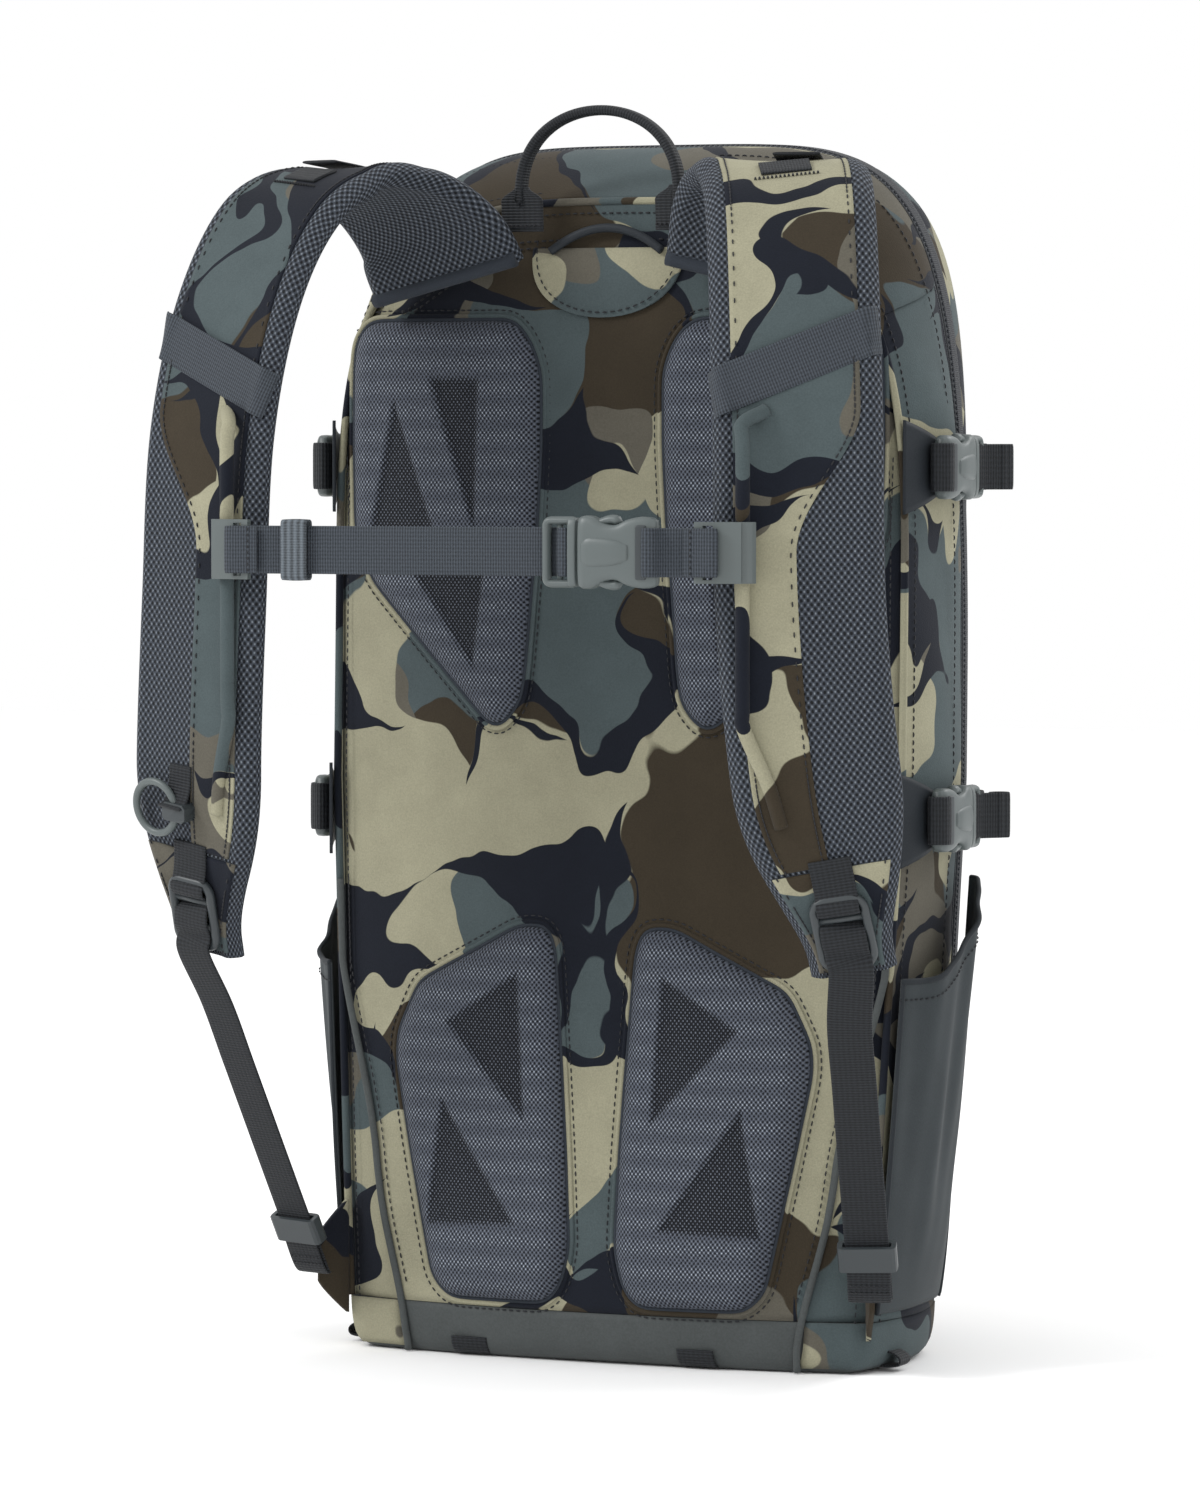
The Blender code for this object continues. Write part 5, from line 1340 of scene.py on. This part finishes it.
lock_frame = on_strap_frame(LOCK_AT, 0.0, 0.0046)
adjuster_top = on_strap(LOCK_AT, 0.0, 0.0125)
adjuster_way = (adjuster_top - ADJUSTER_FOOT) / np.linalg.norm(adjuster_top - ADJUSTER_FOOT)
wing_seam, wing_tip = place(0.1225, 0.0125, 0.040), np.array([0.1322, -0.0715, 0.040])
for side, word in ((1, "right"), (-1, "left")):
    ring = rod("ladder_lock_ring_" + word, lock_frame, rounded_loop(0.0212, 0.0302, 0.0055, 0.0024), 0.0019,
               dark_plastic, side, True, 1.1, 14)
    settle(ring, "pack", "moulded_plastic", "ladder_lock_" + word)
    for k, (height, size) in enumerate(((0.0062, 0.0014), (-0.0058, 0.0017))):
        bar = rod(f"ladder_lock_bar_{k}_{word}", lock_frame, [(-0.0098, height, 0.0022),
                                                              (0, height, 0.0024),
                                                              (0.0098, height, 0.0022)], size,
                  dark_plastic, side)
        settle(bar, "pack", "moulded_plastic")
    held = [on_strap(0.862, 0.0, 0.0062), on_strap(0.885, 0.0, 0.0070), on_strap(0.900, 0.0, 0.0088),
            put(lock_frame, (0, 0.0135, 0.0052)), put(lock_frame, (0, 0.0095, 0.0050)),
            put(lock_frame, (0, 0.0078, 0.0008))]
    short = webbing("lock_anchor_web_" + word, smooth_path(held, 8), lock_frame[1][0], 0.0178, 0.0014,
                    dark_web, side)
    settle(short, "pack", "webbing")
    low = ADJUSTER_FOOT
    path = smooth_path([put(lock_frame, (0, 0.0040, 0.0006)), put(lock_frame, (0, 0.0020, 0.0040)),
                        put(lock_frame, (0, -0.0040, 0.0056)), put(lock_frame, (0, -0.0100, 0.0048)),
                        put(lock_frame, (0, -0.0180, 0.0062)), low + adjuster_way * 0.125,
                        low + adjuster_way * 0.095, low + adjuster_way * 0.060, low + adjuster_way * 0.030,
                        low + adjuster_way * 0.014, low, low - adjuster_way * 0.0115], 10)
    web = webbing("adjuster_webbing_" + word, path, ADJUSTER_ACROSS, 0.0188, 0.0015, dark_web, side)
    settle(web, "pack", "webbing", "adjuster_web_" + word)
    foot_frame = axes(low, ADJUSTER_ACROSS, adjuster_way)
    fold = put(foot_frame, [(0, 0.0060, 0.0012), (0, 0.0, 0.0017), (0, -0.0080, 0.0019),
                            (0, -0.0122, 0.0010), (0, -0.0130, -0.0006)])
    tail = webbing("adjuster_tail_" + word, smooth_path(fold, 6), ADJUSTER_ACROSS, 0.0184, 0.0013,
                   dark_web, side)
    settle(tail, "pack", "webbing")
    for k, height in enumerate((-0.0035, -0.0070)):
        line = put(foot_frame, [(-0.0075, height, 0.0028), (0.0075, height, 0.0028)], side)
        tack = stitches(f"adjuster_tack_{k}_{word}", line, put((np.zeros(3), foot_frame[1]), (0, 0, 1.0),
                                                               side), thread, pitch=0.0018)
        settle(tack, "pack", "webbing")
    keep_node("web_keeper_" + word, dark_plastic, 0.0006)
    k = np.linspace(0.0, 1.0, 20)[:, None]
    across = np.linspace(-1.0, 1.0, 24)[None, :]
    tip = wing_seam + (wing_tip - wing_seam) * 0.76
    narrowing = (1 - k) ** 0.8
    half = 0.0250 * narrowing + 0.0100 * (1 - narrowing)
    puff = np.cross(wing_tip - wing_seam, (0, 0, 1.0))
    puff = puff / np.linalg.norm(puff)
    swell = 0.0010 * np.sin(math.pi * k) * np.cos(across * 1.4)
    spread = half * across
    points = wing_seam + (tip - wing_seam) * (0.03 + 0.97 * k[..., None]) + puff * swell[..., None]
    points = points + np.stack([0 * spread, 0 * spread, spread], axis=-1)
    wing = surface("wing_cloth_" + word, on_side(points, side), printed_strap)
    settle(thicken(wing, 0.0022, 0.0), "pack", "camo_fabric", "wing_" + word)


# ---- The accessory ring and its hook on the left strap: moulded plastic, hung on a sewn tab ----

ring_frame = on_strap_frame(0.835, 0.0045, 0.0098)
turn = np.linspace(0, 2 * math.pi, 64, endpoint=False)
circle = np.stack([0.0113 - 0.0113 * np.cos(turn), 0.0113 * np.sin(turn), 0 * turn], axis=-1)
hoop = rod("gear_ring_hoop", ring_frame, circle, 0.00165, grey_plastic, -1, True)
settle(hoop, "gear_ring", "moulded_plastic", "gear_ring")
keep_node("ring_hook", dark_plastic, 0.0008)
hold = [on_strap(0.800, 0.0045, 0.0064), on_strap(0.815, 0.0045, 0.0070),
        put(ring_frame, (0.0, 0.0046, 0.0)), put(ring_frame, (0.0, 0.0030, 0.0042))]
tab = webbing("ring_tab", smooth_path(hold, 6), ring_frame[1][0], 0.0125, 0.0012, dark_web, -1)
settle(tab, "pack", "webbing")


# ---- The haul handle: webbing flat at its sewn feet and rolled round a cord between them ----

HANDLE_HALF, HANDLE_FOOT, HANDLE_RISE, HANDLE_Y = 0.037, 0.500, 0.0385, -0.0570
turn = np.radians(np.linspace(0.0, 180.0, 90))
x, z = HANDLE_HALF * np.cos(turn), HANDLE_FOOT + HANDLE_RISE * np.sin(turn) ** 0.8
z = np.where(np.abs(x) > HANDLE_HALF - 0.0001, HANDLE_FOOT, z)
arc = np.stack([x, np.full(90, HANDLE_Y), z], axis=-1)
_, wide, outward = across_frames(arc, (0, 1, 0))
swing = np.linspace(0, 2 * math.pi, 20, endpoint=False)
u = 0.0042 * squared(np.cos(swing), 0.7)
v = 0.0022 * squared(np.sin(swing), 0.8)
points = arc[:, None] + u[:, None] * wide[:, None] + v[:, None] * outward[:, None]
grip = surface("haul_handle_grip", points, dark_web, wrap=True, caps=True)
settle(grip, "haul_handle", "webbing", "haul_handle")
for side, word in ((1, "right"), (-1, "left")):
    height = np.array([0.5060, 0.5020, 0.4970, 0.4920, 0.4870])
    depth = np.array([-0.0580, -0.0585, -0.0580, -0.0576, -0.0576])
    route = smooth_path(np.stack([0.0360 + 0 * height, depth, height], axis=-1), 8)
    share = np.linspace(0, 1, len(route))
    _, wide, outward = across_frames(route, (1, 0, 0))
    w = 0.0032 + 0.0066 * ease(share / 0.35)
    th = 0.0018 - 0.0006 * ease(share / 0.35)
    u = w[:, None] * squared(np.cos(swing), 0.4)
    v = th[:, None] * squared(np.sin(swing), 0.7)
    points = route[:, None] + u[..., None] * wide[:, None] + v[..., None] * outward[:, None]
    foot = surface("haul_handle_foot_" + word, on_side(points, side), dark_web, wrap=True, caps=True)
    settle(foot, "pack", "webbing")
    line = np.array([(0.0275, -0.0596, 0.4895), (0.0445, -0.0596, 0.4895)])
    tack = stitches("handle_tack_" + word, on_side(line, side), (0, -1, 0), thread, pitch=0.0018,
                    radius=0.0005)
    settle(tack, "pack", "webbing")


# ---- Load lifters: a web from each strap's crest through a flat buckle to the bag's shoulder ----

LIFTER_ROUTE = ((0.1100, -0.1050, 0.5165), (0.1040, -0.0850, 0.5140), (0.0985, -0.0670, 0.5100),
                (0.0945, -0.0520, 0.5060), (0.0915, -0.0410, 0.5015))
for side, word in ((1, "right"), (-1, "left")):
    path = smooth_path(LIFTER_ROUTE, 12)
    web = webbing("lifter_webbing_" + word, path, (1, 0.3, 0), WEB_WIDE, WEB_THICK, dark_web, side)
    settle(web, "pack", "webbing", "lifter_web_" + word)
    keep_node("lifter_buckle_" + word, dark_plastic, 0.0006)
    q = np.linspace(-1, 1, 24)
    t = np.full(24, 0.335)
    loop = on_strap(t, 0.0105 * q, face_height(t, 0.0105 * q) + 0.0012)
    crest = webbing("lifter_loop_" + word, loop, on_strap(0.345, 0.0, 0.0) - on_strap(0.335, 0.0, 0.0),
                    0.0130, 0.0016, dark_web, side)
    settle(crest, "pack", "webbing")
    u = 0.0130 * np.linspace(-1, 1, 40)
    path = on_strap(np.full(40, 0.362), u, face_height(np.full(40, 0.362), u) + 0.0012)
    tack = stitches("lifter_tack_" + word, on_side(path, side), (0, -0.6, 0.8), thread, pitch=0.0016,
                    radius=0.0006)
    settle(tack, "pack", "webbing")


# ---- The hose port: a coated welt over a printed half-round flap, between the handle's feet ----

x = np.linspace(-0.026, 0.026, 50)
z = 0.4885 - 0.010 * (x / 0.026) ** 2
path = place(x, back_depth(x, z) - 0.0034, z)
welt = tube("hose_port_lip", path, 0.0019, coated_tab, flat=0.8)
settle(welt, "pack", "coated_fabric", "hose_port_welt")


FLAP_HALF, FLAP_TOP, FLAP_DROP = 0.0355, 0.4800, 0.0300


def flap_outline(share):
    """Half-round flap: half its width at a share of its height, from the top down."""
    return FLAP_HALF * np.sqrt(np.clip(1 - share**2.6, 0, 1))


share = np.sin(np.linspace(0, math.pi / 2, 50))[:, None]
q = np.linspace(-1, 1, 60)[None, :]
x = flap_outline(share) * q
z = FLAP_TOP - FLAP_DROP * share + 0 * q
depth = back_depth(x, z) - 0.0014 - 0.0016 * (1 - q**2) * np.sin(share * math.pi)
flap = surface("hose_port_flap", place(x, depth, z), printed_strap)
settle(thicken(flap, 0.0012, -1.0), "pack", "camo_fabric")
edge_turn = np.linspace(0, math.pi, 80)
share = np.sin(edge_turn)
x = flap_outline(share) * np.sign(np.cos(edge_turn))
z = FLAP_TOP - FLAP_DROP * share
seam = stitches("hose_port_stitching", place(x * 0.93, back_depth(x * 0.93, z) - 0.0019, z + 0.0022),
                (0, -1, 0), thread)
settle(seam, "pack", "camo_fabric")


# ---- The U zip: a coil on stitched tape, half on the bag and half on the door, with two sliders ----

zip_tape = webbed("zip_tape_weave", (0.024, 0.027, 0.033), rib=0.0009, column=0.0014)
coil_plastic = plain_finish("zip_coil_plastic", (0.030, 0.034, 0.040), 0.4)
TAPE = 0.0050


def zip_line(s, k):
    """World points of the gusset above the door's foot, near the zip at k = 1."""
    return place(*gusset(s, k, DOOR_FOOT + FOLD_GAP))


def zip_strip(s, near, far, stand, columns=8):
    """A strip of tape on the gusset: from near to far metres behind the zip, stand metres off the cloth."""
    length = np.linalg.norm(zip_line(s, 1.0) - zip_line(s, 0.9), axis=-1) / 0.1
    back = np.linspace(near, far, columns)[None, :]
    points = zip_line(np.repeat(s[:, None], columns, axis=1), 1.0 - back / length[:, None])
    return points + grid_normals(points) * -stand


s = np.linspace(0.0, 1.0, 260)
half = zip_strip(s, 0.0002, TAPE + 0.0012, 0.0006)
points = both_sides(half)
tape = surface("zip_tape_bag", points, zip_tape)
settle(thicken(tape, 0.0010, 0.0), "pack", "webbing")
for k, behind in enumerate((0.0016, 0.0052)):
    line = zip_strip(s, behind, behind + 0.001, 0.0014, 2)
    whole = both_sides(line)
    sewn = stitches(f"zip_stitching_{k}", whole[:, 0], whole[:, 0] - (0, 0.03, 0.25), thread, pitch=0.0028)
    settle(sewn, "pack", "webbing")
line = zip_strip(s, 0.0001, 0.0011, 0.0012, 2)[:, 0]
whole = both_sides(line)
even = resample(whole, 2600, closed=False)
beat = 0.00085 + 0.00032 * np.sin(np.arange(2600) * math.pi / 2)
coil = tube("zip_coil_bag", even, beat, coil_plastic, up=(0.0, 1.0, 0.0), sides=6)
settle(coil, "pack", "moulded_plastic")
rim = door_surface(s, 60)
strip = rim[:, :6] - grid_normals(rim)[:, :6] * 0.0007
points = both_sides(strip)
door_tape = surface("zip_tape_door", points, zip_tape)
settle(thicken(door_tape, 0.0010, 0.0), "front_panel", "webbing")
whole = np.concatenate([rim[:, 0], mirror_x(rim[-2::-1, 0])])
even = resample(whole, 1800, closed=False)
beat = 0.00085 + 0.00032 * np.sin(np.arange(1800) * math.pi / 2)
coil = tube("zip_coil_door", even, beat, coil_plastic, up=(0.0, 1.0, 0.0), sides=6)
settle(coil, "front_panel", "moulded_plastic")
for side, word in ((1, "right"), (-1, "left")):
    keep_node("zip_slider_" + word, dark_plastic, 0.0005)


# ---- Side pockets: stretch woven cloth, slack at the mouth, with a bound edge that rises forward ----

stretch_cloth = woven("stretch_pocket_cloth", (0.040, 0.047, 0.051), 0.75, threads=1800.0, height=0.12)
binding = woven("pocket_binding", (0.022, 0.026, 0.030), 0.7, threads=1800.0, height=0.15)


POCKET_FOOT, POCKET_MOUTH, MOUTH_RISE = 0.026, 0.168, 0.040


def pocket_surface(side, seed):
    """The pocket from its sewn foot to its mouth: the bulge grows with height, with soft folds on it."""
    k = np.linspace(0.03, 0.93, 90)[None, :]
    height = np.linspace(0.0, 1.0, 110)[:, None]
    mouth = POCKET_MOUTH + MOUTH_RISE * ease((k - 0.15) / 0.75)
    z = POCKET_FOOT + (mouth - POCKET_FOOT) * height
    bulge = 0.0026 + 0.013 * np.sin(math.pi * k) ** 0.7 * height**0.5
    folds = (np.sin(k * 21.0 + height * 2.2) * 0.0011 + np.sin(k * 38.0 - height * 3.1 + seed) * 0.0005)
    bulge = bulge + folds * ease(height / 0.6) * np.sin(math.pi * np.clip(k * 1.05, 0, 1)) ** 0.5
    gather = np.sin(height * 15.0 + k * 4.0 + seed) * (1 - ease(height / 0.5)) * np.sin(math.pi * k)
    bulge = bulge + 0.0009 * gather
    s = (z - TRAY_WALL) / (0.31 - TRAY_WALL) * STRAIGHT
    x, d, _ = gusset(s, np.broadcast_to(k, s.shape))
    turn = np.radians(-22 + 40 * k)
    points = place(x + bulge * np.cos(turn), d + bulge * np.sin(turn), z)
    return on_side(points, side)


for side, word in ((1, "right"), (-1, "left")):
    points = pocket_surface(side, 1.0 + side)
    pocket = surface("pocket_cloth_" + word, points, stretch_cloth)
    settle(thicken(pocket, 0.0011, -1.0), "pack", "stretch_fabric", "side_pocket_" + word)
    edge = tube("pocket_mouth_binding_" + word, points[-1], 0.0013, binding, up=(side * 1.0, -0.2, 0.0),
                flat=0.9)
    settle(edge, "pack", "stretch_fabric")
    for column, name in ((1, "back"), (-2, "front")):
        seam = tube(f"pocket_{name}_seam_{word}", points[:, column], 0.0010, binding,
                    up=(side * 1.0, -0.4, 0.0))
        settle(seam, "pack", "stretch_fabric")
    line = points[-7] + np.array([side * 0.0004, -0.0002, 0.0])
    sewn = stitches("pocket_stitching_" + word, line, (side * 1.0, -0.4, 0.0), thread, pitch=0.0026)
    settle(sewn, "pack", "stretch_fabric")


# ---- Seams and piping: printed piping round the back seam, welts over the hips and topstitching ----

s = np.linspace(0.0, 1.0, 220)
x, z = arch(SEAM_ARCH, s, TRAY_WALL)
right = place(x + 0.0004, back_depth(x, z) + 0.0012, z)
whole = both_sides(right)
piping = tube("back_seam_piping", whole, 0.0017, printed_strap, up=(0.0, -1.0, 0.0), sides=12)
settle(piping, "pack", "camo_fabric")
SEAM_INSET = 0.0050
inner_x = x - SEAM_INSET * np.minimum(1, x / 0.03)
line = place(inner_x, back_depth(inner_x, z) - 0.0002, z - SEAM_INSET * ease((s - 0.6) / 0.3))
sewn = stitches("back_seam_stitching_0", both_sides(line), (0, -1, 0), thread)
settle(sewn, "pack", "camo_fabric")
for k, share in enumerate((0.10, 0.62)):
    line = place(*gusset(s[:200], share))
    lifted = line + np.array([0.0004, 0, 0])
    for side, word in ((1, "right"), (-1, "left")):
        sewn = stitches(f"side_stitching_{k}_{word}", on_side(lifted, side), (side * 1.0, 0, 0.3),
                        thread)
        settle(sewn, "pack", "camo_fabric")
height = np.linspace(0.0005, 0.205, 80)
hip_x = 0.0915 + 0.0155 * ease(height / 0.085) + 0.024 * ease((height - 0.07) / 0.13)
limit = arch(SEAM_ARCH, (height - TRAY_WALL) / (0.33 - TRAY_WALL) * STRAIGHT, TRAY_WALL)[0]
hip_x = np.minimum(hip_x, limit - 0.001)
hip = place(hip_x, back_depth(hip_x, height) - 0.0008, height)
hip[:, 1] += 0.0022 * (1 - ease(height / 0.012))
for side, word in ((1, "right"), (-1, "left")):
    laid = on_side(hip, side)
    welt = tube("hip_welt_" + word, laid, 0.0017, coated_cloth, flat=0.7)
    settle(welt, "pack", "camo_fabric")
    inner = hip_x - 0.0042
    line = place(inner, back_depth(inner, height) - 0.0003, height)[12:]
    sewn = stitches("hip_stitching_" + word, on_side(line, side), (0, -1, 0), thread)
    settle(sewn, "pack", "camo_fabric")
q = np.linspace(0.0, 1.0, 80)
yoke_x = 0.024 + 0.098 * q
yoke_z = 0.4835 - 0.004 * q - 0.034 * ease((q - 0.15) / 0.85)
for k, drop in enumerate((0.0, 0.0030)):
    line = place(yoke_x, back_depth(yoke_x, yoke_z - drop) - 0.0003, yoke_z - drop)
    for side, word in ((1, "right"), (-1, "left")):
        sewn = stitches(f"yoke_stitching_{k}_{word}", on_side(line, side), (0, -1, 0), thread,
                        radius=0.00045)
        settle(sewn, "pack", "camo_fabric")
rows = tray_surface()[:8]
count = rows.shape[1]
start = int(np.argmax(rows[0, :count // 2, 0] > 0.0918))
corner = rows[:, start:start + 26]
outward = grid_normals(corner)
flip_out = 1.0 if (outward[..., 0]).mean() > 0 else -1.0
corner = corner + outward * 0.0008 * flip_out
for side, word in ((1, "right"), (-1, "left")):
    points = on_side(corner, side)
    patch = surface("tray_corner_cloth_" + word, points, printed_body)
    settle(thicken(patch, 0.0010, -1.0), "pack", "camo_fabric")
    loop = smooth_path([(0.1175, -0.030, 0.0075), (0.1250, -0.030, 0.0085), (0.1300, -0.030, 0.0060),
                        (0.1295, -0.030, 0.0030), (0.1240, -0.030, 0.0022), (0.1175, -0.030, 0.0030)], 8)
    lash = webbing("lash_loop_" + word, loop, (0, 1, 0), 0.0120, 0.0011, dark_web, side)
    settle(lash, "pack", "webbing")
for k, at in enumerate((-0.060, 0.047)):
    depth = back_depth(at, 0.0) - BACK_LEAN - ORIGIN_DEPTH
    under = smooth_path([(at, depth + 0.016, 0.0007), (at, depth + 0.0085, 0.0008),
                         (at, depth + 0.0040, 0.0020), (at, depth + 0.0015, 0.0050),
                         (at, depth + 0.0005, 0.0085)], 6)
    strip = webbing(f"base_web_{k}", under, (1, 0, 0), 0.0170, 0.0012, dark_web)
    settle(strip, "pack", "webbing")


# ---- The inside: a frame sheet and an elastic-topped sleeve behind the back, seen with the door open ----

lining_cloth = woven("lining_cloth", (0.060, 0.068, 0.068), 0.8, threads=1600.0, height=0.1)
for piece in (back, door, base, crown, *side_cloths):
    piece.data.materials.append(lining_cloth)
    piece.modifiers["cloth_thickness"].material_offset = 1
keep_node("frame_sheet", dark_plastic, 0.0003)
low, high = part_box("hydration_sleeve")
q = np.linspace(-1.0, 1.0, 80)[None, :]
share = np.linspace(0.0, 1.0, 90)[:, None]
half = (high[0] - low[0]) / 2 * (1 - 0.06 * share**3)
x, z = half * q, low[2] + (high[2] - low[2]) * share * (1 - 0.02 * q**4)
depth = back_depth(x, z) + 0.0135 + 0.0008 * np.sin(q * 9.0 + share * 3.0) * share
sleeve = surface("hydration_sleeve_cloth", place(x, depth, z), stretch_cloth)
settle(thicken(sleeve, 0.0010, -1.0), "pack", "stretch_fabric", "hydration_sleeve")
hem = tube("sleeve_hem", place(x, depth, z)[-1], 0.0014, binding, up=(0, 1, 0))
settle(hem, "pack", "stretch_fabric")
